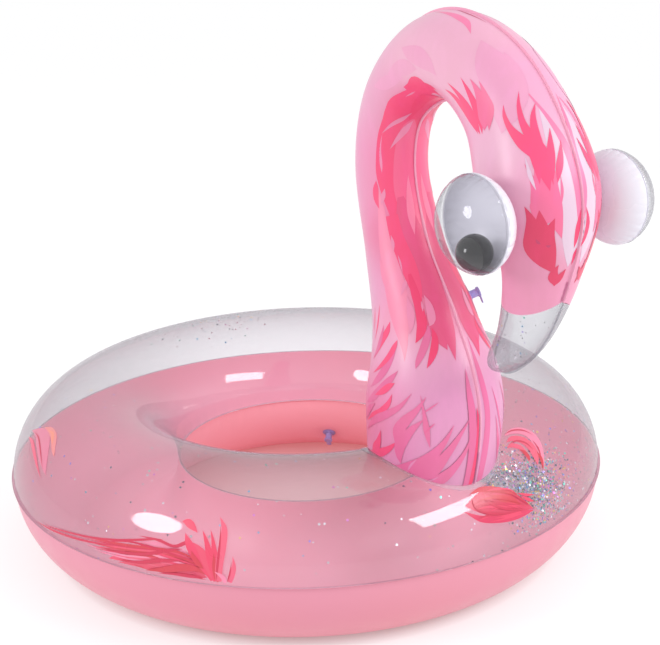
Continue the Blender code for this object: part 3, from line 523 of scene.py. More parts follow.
def face_outwards(bm, inside):
    """Turn an open sheet's faces away from a point or from what a function gives for a face."""
    bmesh.ops.recalc_face_normals(bm, faces=bm.faces)
    bm.faces.ensure_lookup_table()
    sample = bm.faces[len(bm.faces) // 2]
    middle = sample.calc_center_median()
    if sample.normal.dot(middle - inside(middle)) < 0:
        bmesh.ops.reverse_faces(bm, faces=bm.faces)


def thicken(bm, thickness):
    """Give an open sheet its thickness, inwards."""
    bm.normal_update()
    bmesh.ops.solidify(bm, geom=bm.faces[:], thickness=thickness)


def open_hole(bm, middle, normal, radius):
    """Cut a round hole in a sheet and draw its edge onto the circle."""
    def off_axis(point):
        arm = point - middle
        return (arm - arm.dot(normal) * normal), abs(arm.dot(normal))

    inside = []
    for face in bm.faces:
        arm, along = off_axis(face.calc_center_median())
        if arm.length < radius and along < 3 * radius:
            inside.append(face)
    rim = {vert for face in inside for vert in face.verts}
    bmesh.ops.delete(bm, geom=inside, context="FACES")
    for vert in rim:
        if vert.is_valid and vert.link_faces:
            arm, _ = off_axis(vert.co)
            vert.co += arm.normalized() * (radius - arm.length)


def pressed_flat(point, middle, normal, radius, fade):
    """Return a point of film pressed flat round a valve, fading out over a distance."""
    arm = point - middle
    height = arm.dot(normal)
    away = (arm - height * normal).length
    if away >= radius + fade or abs(height) > 0.02:
        return point
    share = 1.0 if away < radius else 1.0 - (away - radius) / fade
    return point - normal * height * share * share * (3 - 2 * share)


def tuck(along, away, spacing, depth, reach, seed):
    """Return how far film is pulled in by the small uneven tucks beside a weld."""
    beat = along / spacing + 0.6 * noise.noise(Vector((along / spacing * 0.31, seed, 0.0)))
    strength = 0.6 + 0.8 * noise.noise(Vector((math.floor(beat + 0.5) * 1.7, seed, 5.0)))
    valley = (0.5 + 0.5 * math.cos(math.tau * beat)) ** 4
    return depth * max(strength, 0.0) * valley * math.exp(-((away / reach) ** 1.3))


# ---------------------------------------------------------------- materials

def new_material(name):
    """Return an empty node material and its tree."""
    made = bpy.data.materials.new(name)
    made.use_nodes = True
    made.node_tree.nodes.clear()
    return made, made.node_tree


def node(tree, kind, settings=None, **inputs):
    """Add a node; inputs are values or sockets, with underscores for spaces."""
    made = tree.nodes.new("ShaderNode" + kind)
    for key, value in (settings or {}).items():
        setattr(made, key, value)
    for key, value in inputs.items():
        numbered = key[0] == "i" and key[1:].isdigit()
        socket = made.inputs[int(key[1:])] if numbered else made.inputs[key.replace("_", " ")]
        if isinstance(value, bpy.types.NodeSocket):
            tree.links.new(value, socket)
        else:
            socket.default_value = value
    return made


def mixed(tree, factor, one, two, kind="MIX"):
    """Return a colour socket that mixes two colours."""
    mix = node(tree, "Mix", {"data_type": "RGBA", "blend_type": kind}, i0=factor, i6=one, i7=two)
    return mix.outputs[2]


def ranged(tree, value, low, high, to_low=0.0, to_high=1.0):
    """Return a value socket mapped from one range to another, clamped."""
    made = node(tree, "MapRange", None, Value=value, From_Min=low, From_Max=high, To_Min=to_low,
                To_Max=to_high)
    return made.outputs[0]


def grain(tree, scale, detail=3.0):
    """Return a noise node on the object's own coordinates."""
    where = node(tree, "TexCoord")
    return node(tree, "TexNoise", None, Vector=where.outputs["Object"], Scale=scale, Detail=detail)


def ripple(tree, scale, distance, strength=0.3):
    """Return a normal socket with the soft ripple of plastic film."""
    wave = grain(tree, scale, 4.0)
    fine = grain(tree, scale * 14, 2.0)
    height = node(tree, "Math", {"operation": "MULTIPLY_ADD"}, i0=fine.outputs[0], i1=0.06,
                  i2=wave.outputs[0])
    bump = node(tree, "Bump", None, Strength=strength, Distance=distance, Height=height.outputs[0])
    return bump.outputs[0]


def end_with(tree, shader):
    """Link a shader to the material's output."""
    node(tree, "OutputMaterial", None, Surface=shader)


def clear_film(name, milkiness, gloss_share=0.045, darken=1.0):
    """Return clear film: tinted see-through faces, a sharp gloss and a little milk."""
    colours = bpy.context.scene.float_colours
    made, tree = new_material(name)
    normal = ripple(tree, 9.0, 0.0015, 0.35)
    facing = node(tree, "LayerWeight", None, Blend=0.5, Normal=normal).outputs["Facing"]
    longer = node(tree, "Math", {"operation": "POWER"}, i0=facing, i1=1.4).outputs[0]
    tint = mixed(tree, longer, linear([darken * c for c in colours.clear]),
                 linear([darken * c for c in colours.clear_edge]))
    through = node(tree, "BsdfTransparent", None, Color=tint)
    gloss = node(tree, "BsdfGlossy", None, Color=(1, 1, 1, 1), Roughness=0.05, Normal=normal)
    edge = node(tree, "Math", {"operation": "POWER"}, i0=facing, i1=4.0).outputs[0]
    shine = ranged(tree, edge, 0.0, 1.0, gloss_share, 0.42)
    film = node(tree, "MixShader", None, i0=shine, i1=through.outputs[0], i2=gloss.outputs[0])
    cloud = grain(tree, 3.5, 3.0)
    body = mixed(tree, cloud.outputs[0], linear(colours.milk), linear((0.86, 0.87, 0.90)))
    milk = node(tree, "BsdfPrincipled", None, Base_Color=body, Roughness=0.35, Normal=normal)
    side = ranged(tree, edge, 0.0, 1.0, milkiness, milkiness + 0.12)
    speckle = ranged(tree, cloud.outputs[0], 0.3, 0.7, 0.8, 1.2)
    share = node(tree, "Math", {"operation": "MULTIPLY"}, i0=side, i1=speckle)
    both = node(tree, "MixShader", None, i0=share.outputs[0], i1=film.outputs[0], i2=milk.outputs[0])
    end_with(tree, both.outputs[0])
    return made


def pink_film():
    """Return the ring's opaque pink film: painted shade deeper towards the floor, painted light round the
    hole and inside.
    """
    made, tree = new_material("pink_film")
    pink = linear(bpy.context.scene.float_colours.pink)
    where = node(tree, "TexCoord")
    height = node(tree, "SeparateXYZ", None, Vector=where.outputs["Object"]).outputs["Z"]
    # Painted shade: the film turns deeper and redder towards the floor, standing in for shade and pink bounce
    # light there.
    low = ranged(tree, height, 0.0, 0.11, 1.0, 0.0)
    deeper = mixed(tree, low, pink, linear((0.880, 0.525, 0.580)))
    cloud = grain(tree, 5.0)
    share = ranged(tree, cloud.outputs[0], 0.35, 0.75, 0.0, 0.35)
    outer = mixed(tree, share, deeper, linear((0.860, 0.555, 0.650)))
    # Painted light: round the hole the film takes the lighter hole pink.
    from_middle = node(tree, "VectorMath", {"operation": "DISTANCE"}, i0=where.outputs["Object"],
                       i1=(RING_CENTRE.x, RING_CENTRE.y, 0.06)).outputs["Value"]
    outer = mixed(tree, ranged(tree, from_middle, 0.24, 0.33),
                  linear(bpy.context.scene.float_colours.pink_hole_painted_light), outer)
    # Painted light: the inner faces, marked by the inside attribute, take the lighter inner pink.
    inside = node(tree, "Attribute", {"attribute_name": "inside"}).outputs["Fac"]
    inner = mixed(tree, share, linear(bpy.context.scene.float_colours.pink_inside_painted_light),
                  linear((0.975, 0.675, 0.785)))
    body = mixed(tree, inside, outer, inner)
    rough = ranged(tree, grain(tree, 40.0).outputs[0], 0.3, 0.7, 0.32, 0.42)
    shader = node(tree, "BsdfPrincipled", None, Base_Color=body, Roughness=rough, Specular_IOR_Level=0.4,
                  Normal=ripple(tree, 12.0, 0.001))
    end_with(tree, shader.outputs[0])
    return made


def inked(name, layer, roughness, streak):
    """Return printed film: the colour painted on the mesh, with fine streaks of ink."""
    made, tree = new_material(name)
    dye = node(tree, "Attribute", {"attribute_name": layer}).outputs["Color"]
    where = node(tree, "TexCoord")
    long_grain = node(tree, "Mapping", None, Vector=where.outputs["Object"], Scale=(90.0, 90.0, 14.0))
    streaks = node(tree, "TexNoise", None, Vector=long_grain.outputs[0], Scale=1.0, Detail=3.0)
    share = ranged(tree, streaks.outputs[0], 0.45, 0.75, 0.0, streak)
    body = mixed(tree, share, dye, linear((0.98, 0.78, 0.88)), "SOFT_LIGHT")
    cloud = grain(tree, 14.0)
    tone = mixed(tree, ranged(tree, cloud.outputs[0], 0.3, 0.8, 0.0, streak), body,
                 linear((0.88, 0.60, 0.80)),
                 "SOFT_LIGHT")
    rough = ranged(tree, cloud.outputs[0], 0.3, 0.7, roughness - 0.05, roughness + 0.05)
    tone = mixed(tree, 1.0, tone, linear(bpy.context.scene.float_colours.print_tone), "MULTIPLY")
    shader = node(tree, "BsdfPrincipled", None, Base_Color=tone, Roughness=rough, Specular_IOR_Level=0.45,
                  Normal=ripple(tree, 16.0, 0.0008))
    end_with(tree, shader.outputs[0])
    return made


def eye_white():
    """Return the eyes' pearly white film."""
    made, tree = new_material("eye_white_film")
    cloud = grain(tree, 18.0)
    body = mixed(tree, cloud.outputs[0], linear(bpy.context.scene.float_colours.eye_white),
                 linear((0.870, 0.860, 0.900)))
    rough = ranged(tree, cloud.outputs[0], 0.3, 0.7, 0.24, 0.32)
    shader = node(tree, "BsdfPrincipled", None, Base_Color=body, Roughness=rough,
                  Normal=ripple(tree, 30.0, 0.0006))
    end_with(tree, shader.outputs[0])
    return made


def pupil_black():
    """Return the pupils' glossy black with faint scratches."""
    made, tree = new_material("pupil_black")
    colour = linear(bpy.context.scene.float_colours.pupil)
    where = node(tree, "TexCoord")
    stretched = node(tree, "Mapping", None, Vector=where.outputs["Object"], Scale=(900.0, 120.0, 260.0))
    scratch = node(tree, "TexNoise", None, Vector=stretched.outputs[0], Scale=1.0, Detail=2.0)
    share = ranged(tree, scratch.outputs[0], 0.66, 0.72, 0.0, 0.25)
    body = mixed(tree, share, colour, linear((0.34, 0.37, 0.39)))
    rough = ranged(tree, scratch.outputs[0], 0.4, 0.75, 0.05, 0.14)
    shader = node(tree, "BsdfPrincipled", None, Base_Color=body, Roughness=rough, Specular_IOR_Level=0.6)
    end_with(tree, shader.outputs[0])
    return made


def valve_lilac():
    """Return the valves' soft lilac plastic with moulding grain."""
    made, tree = new_material("valve_lilac")
    cloud = grain(tree, 160.0)
    body = mixed(tree, cloud.outputs[0], linear(bpy.context.scene.float_colours.valve),
                 linear((0.68, 0.65, 0.86)))
    shader = node(tree, "BsdfPrincipled", None, Base_Color=body, Roughness=0.3, Subsurface_Weight=0.15,
                  Subsurface_Scale=0.003, Normal=ripple(tree, 220.0, 0.0003))
    end_with(tree, shader.outputs[0])
    return made


def glitter_silver():
    """Return silver flakes, each with its own rainbow tint."""
    made, tree = new_material("glitter_silver")
    tint = node(tree, "Attribute", {"attribute_name": "tint"}).outputs["Color"]
    cloud = grain(tree, 900.0)
    body = mixed(tree, ranged(tree, cloud.outputs[0], 0.4, 0.6, 0.0, 0.25), tint,
                 linear(bpy.context.scene.float_colours.glitter))
    shader = node(tree, "BsdfPrincipled", None, Base_Color=body, Metallic=0.45, Roughness=0.30)
    end_with(tree, shader.outputs[0])
    return made


def glitter_bed():
    """Return the heap's body: packed silver specks."""
    made, tree = new_material("glitter_bed")
    where = node(tree, "TexCoord")
    cells = node(tree, "TexVoronoi", None, Vector=where.outputs["Object"], Scale=520.0)
    hue = node(tree, "HueSaturation", None, Saturation=0.45, Value=1.15, Color=cells.outputs["Color"])
    body = mixed(tree, 0.62, hue.outputs[0], linear(bpy.context.scene.float_colours.glitter))
    bump = node(tree, "Bump", None, Strength=0.7, Distance=0.0008, Height=cells.outputs["Distance"])
    shader = node(tree, "BsdfPrincipled", None, Base_Color=body, Metallic=0.3, Roughness=0.4,
                  Normal=bump.outputs[0])
    end_with(tree, shader.outputs[0])
    return made


# ---------------------------------------------------------------- ring chamber

def ring_halves():
    """Return the section's half widths outwards and inwards, and the seam's height."""
    sizes = bpy.context.scene.ring_sizes
    outward = (RING_HIGH.x - RING_LOW.x) / 2 - sizes.fin - sizes.crest_radius
    inward = sizes.crest_radius - sizes.hole_radius - sizes.fin
    return outward, inward, RING_TOP / 2


def section(degrees, lift=0.0):
    """Return (radius, height) on the ring's section: 0 is the outer seam, 90 the crest, 180 the hole."""
    outward, inward, seam = ring_halves()
    angle = math.radians(degrees)
    half = outward if math.cos(angle) > 0 else inward
    rise = max(math.sin(angle) * (1.035 if math.sin(angle) < 0 else 1.0), -1.0)
    radius = bpy.context.scene.ring_sizes.crest_radius + (half + lift) * math.cos(angle)
    return radius, seam + (seam + lift) * rise


def on_ring(around, degrees, lift=0.0):
    """Return a world point from degrees round the ring and degrees up its section."""
    radius, height = section(degrees, lift)
    turn = math.radians(around)
    return RING_CENTRE + Vector((radius * math.sin(turn), -radius * math.cos(turn), height))


def ring_crest_below(point):
    """Return the middle of the ring's tube nearest to a point."""
    out = Vector((point.x - RING_CENTRE.x, point.y - RING_CENTRE.y, 0.0)).normalized()
    middle = RING_CENTRE + out * bpy.context.scene.ring_sizes.crest_radius
    middle.z = RING_TOP / 2
    return middle


def ring_top_height(x, y):
    """Return the height of the ring's upper face under a point."""
    outward, inward, seam = ring_halves()
    offset = math.hypot(x - RING_CENTRE.x, y - RING_CENTRE.y) - bpy.context.scene.ring_sizes.crest_radius
    share = min(abs(offset) / (outward if offset > 0 else inward), 1.0)
    return seam + seam * math.sqrt(1 - share * share)


def ring_sheet(side):
    """Return one ring sheet, from fin to fin, with tucks beside its welds."""
    sizes = bpy.context.scene.ring_sizes
    outward, inward, seam = ring_halves()
    face = seam + side * (WELD_GAP / 2 + sizes.film)
    outer_seam = sizes.crest_radius + outward
    inner_seam = sizes.crest_radius - inward
    outline = [(outer_seam + sizes.fin, face), (outer_seam + sizes.fin / 2, face),
               (outer_seam + 0.0002, face)]
    outline += [section(side * 180 * (i + 0.5) / sizes.rows) for i in range(sizes.rows)]
    outline += [(inner_seam - 0.0002, face), (inner_seam - sizes.fin / 2, face),
                (inner_seam - sizes.fin, face)]
    bm = spun(outline, sizes.steps)
    for vert in bm.verts:
        radius = math.hypot(vert.co.x, vert.co.y)
        around = math.atan2(vert.co.x, -vert.co.y)
        middle = Vector((vert.co.x, vert.co.y, 0.0)) * (sizes.crest_radius / radius)
        middle.z = seam
        arm = vert.co - middle
        rise = abs(arm.z)
        near_hole = radius < sizes.crest_radius
        tight, loose = (0.013, sizes.tuck_depth, 0.024), (0.016, sizes.tuck_depth / 2, 0.038)
        reach, depth, spacing = tight if near_hole else loose
        edge = inner_seam if near_hole else outer_seam
        pull = tuck(around * edge, rise, spacing, depth, reach, 2.0 + side + near_hole)
        if near_hole:
            swell = (math.exp(-(((rise - 0.022) / 0.006) ** 2))
                     + 0.7 * math.exp(-(((rise - 0.040) / 0.008) ** 2)))
            pull -= 0.0009 * swell * max(noise.noise(Vector((math.cos(around) * 2, math.sin(around) * 2,
                                                             rise))), 0)
        fade = min(rise / 0.003, 1.0)
        if vert.co.z > 0.004:
            vert.co -= arm.normalized() * pull * fade
    bmesh.ops.translate(bm, vec=RING_CENTRE, verts=bm.verts)
    face_outwards(bm, ring_crest_below)
    return bm


class FLOAT_OT_ring(Operator):
    """Make the ring's clear upper sheet and pink lower sheet"""

    bl_idname = "swim_float.ring"
    bl_label = "Ring sheets"

    def execute(self, context):
        sizes = context.scene.ring_sizes
        upper = ring_sheet(1)
        thicken(upper, sizes.film)
        finish_piece("ring_top_film", upper, clear_film("clear_film", 0.03, 0.035),
                     replaces=("ring_top_sheet",))
        lower = ring_sheet(-1)
        place = valve_place("ring")
        middle, normal = place.translation, place.col[2].to_3d()
        for vert in lower.verts:
            vert.co = pressed_flat(vert.co, middle, normal, 0.014, 0.020)
        open_hole(lower, middle, normal, context.scene.valve_sizes.stem_radius + 2 * WELD_GAP)
        thicken(lower, sizes.film)
        # The inside attribute marks the inner faces, which the pink film paints lighter as painted light.
        layer = lower.verts.layers.float_color.new("inside")
        for vert in lower.verts:
            inward = vert.normal.dot(vert.co - ring_crest_below(vert.co)) < 0
            vert[layer] = (inward, inward, inward, 1.0)
        finish_piece("ring_bottom_film", lower, pink_film(), replaces=("ring_bottom_sheet",))
        return {"FINISHED"}


# ---------------------------------------------------------------- neck, head and beak

def station(place):
    """Return (forward, height, half depth, half width) and the direction of travel."""
    place = min(max(place, 0.0), LAST_STATION - 1e-9)
    index = int(place)
    t = place - index
    near = (NECK_STATIONS[min(max(index + k, 0), LAST_STATION)] for k in (-1, 0, 1, 2))
    value, travel = [], []
    for before, one, two, after in zip(*near):
        b, c = two - before, 2 * before - 5 * one + 4 * two - after
        d = -before + 3 * one - 3 * two + after
        value.append(0.5 * (2 * one + b * t + c * t * t + d * t * t * t))
        travel.append(b + 2 * c * t + 3 * d * t * t)
    size = math.hypot(travel[0], travel[1])
    left_over = LAST_STATION - place
    if left_over < TIP_ROUNDING:
        shrink = max(TIP_OPENING, math.sqrt(1 - (1 - left_over / TIP_ROUNDING) ** 2))
        value[2], value[3] = value[2] * shrink, value[3] * shrink
    return value, (travel[0] / size, travel[1] / size)


def neck_point(place, inward, across):
    """Return a world point from a place on the spine, a shift to the gap side and one across."""
    value, travel = station(place)
    forward = bpy.context.scene.neck_sizes.foot_forward + value[0] + inward * travel[1]
    height = RING_TOP + value[1] - inward * travel[0]
    return Vector((across, RING_CENTRE.y - forward, height))


def on_neck(place, degrees, side):
    """Return a point on a side panel, from the gap seam at 0 to the outer seam at 180 degrees."""
    angle = math.radians(degrees)
    depth, width = station(place)[0][2:]
    across = WELD_GAP / 2 + max((width - WELD_GAP) * math.sin(angle), bpy.context.scene.ring_sizes.film)
    return neck_point(place, depth * math.cos(angle), side * across)


def beak_start(degrees):
    """Return where the printed film ends on the spine, at degrees round the section."""
    angle = math.radians(degrees)
    front = (1 - math.cos(angle)) / 2
    straight = BEAK_START_BACK + (BEAK_START_FRONT - BEAK_START_BACK) * front
    return straight + BEAK_START_BULGE * math.sin(angle)


def foot_place(degrees, side, lift):
    """Return where a panel meets the ring's upper face, found by halving."""
    low, high = 0.0, 1.2
    for _ in range(24):
        middle = (low + high) / 2
        point = on_neck(middle, degrees, side)
        if point.z > ring_top_height(point.x, point.y) + lift:
            high = middle
        else:
            low = middle
    return high


def seam_tucks(place, degrees, side):
    """Return how far a panel is pulled in beside its two seams."""
    sizes = bpy.context.scene.neck_sizes
    along = place * 0.095
    depth, width = station(place)[0][2:]
    size = (depth + width) / 2
    crowded = 0.25 + 0.9 * math.exp(-(((place - 6.2) / 1.2) ** 2))
    gap_side = tuck(along, math.radians(degrees) * size, 0.011, sizes.tuck_depth * crowded, 0.013, 7.0 + side)
    brow = (0.15 + 0.9 * math.exp(-(((place - 9.2) / 0.55) ** 2))
            + 0.8 * math.exp(-(((place - 11.6) / 0.5) ** 2)))
    outer = tuck(along, math.radians(180 - degrees) * size, 0.0085, sizes.tuck_depth * brow, 0.010,
                 11.0 + side)
    return gap_side + outer


def side_panel(side, first, last, rows, columns):
    """Return one side panel between two edges, with its weld fins."""
    film, fin = bpy.context.scene.ring_sizes.film, bpy.context.scene.ring_sizes.fin
    bm = bmesh.new()
    bmesh.ops.create_grid(bm, x_segments=columns, y_segments=rows, size=1.0)
    starts = {}
    for vert in bm.verts:
        column = round((vert.co.x + 1) / 2 * columns)
        share = (vert.co.y + 1) / 2
        degrees = 180.0 * min(max(column - 1, 0), columns - 2) / (columns - 2)
        if column not in starts:
            starts[column] = (first(degrees), last(degrees))
        start, end = starts[column]
        place = start + (end - start) * share
        if column in (0, columns):
            depth = station(place)[0][2]
            reach = (depth + fin) * math.copysign(1.0, math.cos(math.radians(degrees)))
            vert.co = neck_point(place, reach, side * (WELD_GAP / 2 + film))
        else:
            point = on_neck(place, degrees, side)
            spine = neck_point(place, 0.0, 0.0)
            arm = point - spine
            room = min(abs(point.x) / 0.004, 1.0)
            vert.co = point - arm.normalized() * seam_tucks(place, degrees, side) * room
    face_outwards(bm, lambda middle: Vector((0.0, middle.y, middle.z)))
    return bm


def dye_layer(bm, side):
    """Paint the soft dye on a panel as a vertex colour, with painted light on the weld fins."""
    layer = bm.verts.layers.float_color.new("dye")
    base = np.array(linear(bpy.context.scene.float_colours.neck))
    weld = linear(bpy.context.scene.float_colours.neck_weld_painted_light)
    spots = [(on_neck(place, degrees, side), reach, np.array(linear(colour)))
             for place, degrees, reach, colour in DYE_SPOTS]
    for vert in bm.verts:
        total, weight = base * 0.15, 0.15
        for spot, reach, colour in spots:
            share = math.exp(-((vert.co - spot).length / reach) ** 2)
            total, weight = total + colour * share, weight + share
        on_weld = abs(vert.co.x) < WELD_GAP / 2 + bpy.context.scene.ring_sizes.film + 1e-5
        # Painted light: the weld fins take the lighter weld pink, cancelling the shade between them.
        vert[layer] = weld if on_weld and vert.co.z > RING_TOP + 0.02 else total / weight


class FLOAT_OT_neck(Operator):
    """Make the neck's two printed side panels and the clear base sheet under them"""

    bl_idname = "swim_float.neck"
    bl_label = "Neck panels"

    def execute(self, context):
        film = context.scene.ring_sizes.film
        sizes = context.scene.neck_sizes
        printed = inked("printed_film", "dye", 0.33, 0.25)
        foot_lift = 2 * WELD_GAP + film
        for word, side in (("right", -1), ("left", 1)):
            bm = side_panel(side, lambda degrees: foot_place(degrees, side, foot_lift), beak_start,
                            sizes.rows, sizes.columns)
            if side == 1:
                place = valve_place("neck")
                middle, normal = place.translation, place.col[2].to_3d()
                for vert in bm.verts:
                    vert.co = pressed_flat(vert.co, middle, normal, 0.012, 0.016)
                open_hole(bm, middle, normal, context.scene.valve_sizes.stem_radius + 2 * WELD_GAP)
            dye_layer(bm, side)
            thicken(bm, film)
            finish_piece(f"neck_{word}_film", bm, printed, replaces=(f"neck_{word}_panel",))
        finish_piece("neck_base_film", base_sheet(), clear_film("base_film", 0.10),
                     replaces=("neck_base_sheet",))
        return {"FINISHED"}


def base_sheet():
    """Return the oval sheet under the neck, with two raised weld lines near its edge."""
    sizes = bpy.context.scene.neck_sizes
    half_depth, half_width = NECK_STATIONS[0][2:]
    rings, steps = 26, 120
    bm = bmesh.new()
    bmesh.ops.create_grid(bm, x_segments=steps, y_segments=rings, size=1.0)
    for vert in bm.verts:
        turn = (vert.co.x + 1) * math.pi
        share = (vert.co.y + 1) / 2
        bead = 0.0007 * sum(math.exp(-(((share - line) / 0.012) ** 2)) for line in (0.91, 0.97))
        x = share * (half_width + sizes.base_margin) * math.sin(turn)
        y = RING_CENTRE.y - sizes.foot_forward - share * (half_depth + sizes.base_margin) * math.cos(turn)
        vert.co = Vector((x, y, ring_top_height(x, y) + WELD_GAP + bpy.context.scene.ring_sizes.film + bead))
    bmesh.ops.remove_doubles(bm, verts=bm.verts, dist=1e-5)
    face_outwards(bm, lambda middle: middle - Vector((0.0, 0.0, 1.0)))
    thicken(bm, bpy.context.scene.ring_sizes.film)
    return bm


class FLOAT_OT_beak(Operator):
    """Make the clear beak's two panels"""

    bl_idname = "swim_float.beak"
    bl_label = "Beak panels"

    def execute(self, context):
        film = context.scene.ring_sizes.film
        finish = clear_film("beak_film", 0.06, 0.04, 0.985)
        for word, side in (("right", -1), ("left", 1)):
            bm = side_panel(side, lambda degrees: beak_start(degrees) + 0.006,
                            lambda degrees: float(LAST_STATION),
                            context.scene.neck_sizes.beak_rows, context.scene.neck_sizes.columns)
            thicken(bm, film)
            finish_piece(f"beak_{word}_film", bm, finish, replaces=(f"beak_{word}_panel",))
        return {"FINISHED"}


# ---------------------------------------------------------------- prints

def smooth_line(points, surface, facet):
    """Return a smooth run through a stroke's points, in steps of one facet's length."""
    points = [np.array(point, float) for point in points]
    run = []
    for i in range(len(points) - 1):
        before, one, two, after = (points[min(max(i + k, 0), len(points) - 1)] for k in (-1, 0, 1, 2))
        steps = max(3, math.ceil((surface(*two[:2]) - surface(*one[:2])).length / facet))
        for step in range(steps):
            t = step / steps
            run.append(0.5 * (2 * one + (two - before) * t + (2 * before - 5 * one + 4 * two - after) * t ** 2
                              + (-before + 3 * one - 3 * two + after) * t ** 3))
    run.append(points[-1])
    return run


def add_blade(bm, surface, stroke, lift, limits):
    """Add one printed stroke to a bmesh, laid on a surface given by two coordinates."""
    colour = linear(INKS[stroke[0]])
    facet = bpy.context.scene.neck_sizes.facet
    run = smooth_line(stroke[1:], surface, facet)
    across = max(2, math.ceil(max(point[2] for point in run) * 0.002 / facet))
    part = bmesh.new()
    part_layer = part.verts.layers.float_color.new("ink")
    bmesh.ops.create_grid(part, x_segments=across, y_segments=len(run) - 1, size=1.0)
    for vert in part.verts:
        row = round((vert.co.y + 1) / 2 * (len(run) - 1))
        u, v, half = run[row]
        ahead, behind = run[min(row + 1, len(run) - 1)], run[max(row - 1, 0)]
        along_u = (surface(u + 0.002, v) - surface(u - 0.002, v)) / 0.004
        along_v = (surface(u, v + 0.2) - surface(u, v - 0.2)) / 0.4
        normal = along_u.cross(along_v).normalized()
        travel = (along_u * (ahead[0] - behind[0]) + along_v * (ahead[1] - behind[1])).normalized()
        sideways = normal.cross(travel)
        uu, vv, uv = along_u.dot(along_u), along_v.dot(along_v), along_u.dot(along_v)
        su, sv = sideways.dot(along_u), sideways.dot(along_v)
        area = uu * vv - uv * uv
        reach = max(half, 0.0) * 0.001 * vert.co.x
        new_v = v + reach * (sv * uu - su * uv) / area
        new_v = min(max(new_v, limits[0]), limits[1])
        new_u = u + reach * (su * vv - sv * uv) / area
        vert[part_layer] = colour
        vert.co = surface(new_u, new_v, lift)
    bmesh.ops.remove_doubles(part, verts=part.verts, dist=2e-5)
    scrap = bpy.data.meshes.new("scrap")
    part.to_mesh(scrap)
    part.free()
    bm.from_mesh(scrap)
    bpy.data.meshes.remove(scrap)


def printed(strokes, surface, inside, limits, first_lift=0.0, bare=0.0):
    """Return a bmesh of strokes on a surface, each a hair above the last, bare round the neck's valve."""
    sizes = bpy.context.scene.neck_sizes
    bm = bmesh.new()
    bm.verts.layers.float_color.new("ink")
    laid = []
    for stroke in strokes:
        low_u, high_u = (pick(point[0] for point in stroke[1:]) for pick in (min, max))
        low_v, high_v = (pick(point[1] for point in stroke[1:]) for pick in (min, max))
        level = 0
        for ink, below, box in laid:
            if low_u < box[1] and high_u > box[0] and low_v - 12 < box[3] and high_v + 12 > box[2]:
                level = max(level, below + (ink != stroke[0]))
        laid.append((stroke[0], level, (low_u, high_u, low_v, high_v)))
        add_blade(bm, surface, stroke, first_lift + sizes.print_lift + sizes.print_step * level, limits)
    bm.normal_update()
    wrong = [face for face in bm.faces
             if face.normal.dot(face.calc_center_median() - inside(face.calc_center_median())) < 0]
    bmesh.ops.reverse_faces(bm, faces=wrong)
    if bare:
        clear_round(bm, valve_place("neck"), bare)
    bm.normal_update()
    bmesh.ops.solidify(bm, geom=bm.faces[:], thickness=sizes.ink)
    return bm


def clear_round(bm, place, radius):
    """Take away what is printed within a valve's flange."""
    middle, normal = place.translation, place.col[2].to_3d()
    lost = set()
    for vert in bm.verts:
        arm = vert.co - middle
        height = arm.dot(normal)
        if abs(height) < 0.02 and (arm - height * normal).length < radius:
            lost.add(vert)
    bmesh.ops.delete(bm, geom=list(lost), context="VERTS")


def neck_surface(side):
    """Return a function that gives points on a side panel above its foot, lifted off it."""
    feet = [foot_place(degrees, side, 0.0012) for degrees in range(0, 181, 3)]
    valve = valve_place("neck")
    valve_middle, valve_normal = valve.translation, valve.col[2].to_3d()

    def point(place, degrees, lift=0.0):
        degrees = min(max(degrees, 0.0), 180.0)
        if lift:
            place = max(place, feet[round(degrees / 3)])
        base = on_neck(place, degrees, side)
        if not lift:
            return base
        spine = neck_point(place, 0.0, 0.0)
        if side == 1:
            base = pressed_flat(base, valve_middle, valve_normal, 0.012, 0.016)
        along = on_neck(place + 0.01, degrees, side) - on_neck(place - 0.01, degrees, side)
        inner = min(max(degrees, 2.0), 178.0)
        around = on_neck(place, inner + 1.5, side) - on_neck(place, inner - 1.5, side)
        normal = along.cross(around).normalized()
        if normal.dot(base - spine) < 0:
            normal.negate()
        return base + normal * lift
    return point


class FLOAT_OT_neck_prints(Operator):
    """Print the feathers on the neck and head"""

    bl_idname = "swim_float.neck_prints"
    bl_label = "Neck feathers"

    def execute(self, context):
        ink = inked("feather_ink", "ink", 0.33, 0.30)
        extra = {"right": RIGHT_FACE_PRINT, "left": LEFT_FACE_PRINT + LEFT_BREAST_PRINT}
        for word, side in (("right", -1), ("left", 1)):
            strokes = extra[word] + BOTH_SIDES_PRINT + PLUME_PRINT
            if side == -1:
                strokes += BARB_PRINT
            else:
                strokes += tuple(stroke for stroke in BARB_PRINT if stroke[1][1] > 60)
            bare = context.scene.valve_sizes.flange_radius + 2 * WELD_GAP if side == 1 else 0.0
            bm = printed(strokes, neck_surface(side), lambda middle: Vector((0.0, middle.y, middle.z)),
                         (1.0, 179.0),
                         bare=bare)
            finish_piece(f"neck_{word}_feathers", bm, ink)
        return {"FINISHED"}


def wing_strands():
    """Return the wing's fine strands, sweeping back along the seam from its root."""
    chance = random.Random(4)
    strands = []
    for i in range(20):
        share = i / 19
        tip = -60 - 12 * chance.random() - 9 * share
        high = 3.0 + 13 * share
        wave = chance.uniform(-2.2, 2.2)
        half = chance.uniform(0.8, 1.9)
        ink = chance.choice(("ring_line", "ring_red", "coral_deep", "leaf", "leaf_light", "band"))
        strands.append((ink, (tip, 2.4 + 0.55 * high, 0), ((tip - 56) / 2, 2.6 + 0.85 * high + wave, half),
                        (-54.5, 2.6 + 0.95 * high - wave, half), (-51 + 1.5 * share, 2.6 + 0.6 * high, 0)))
    return tuple(strands)


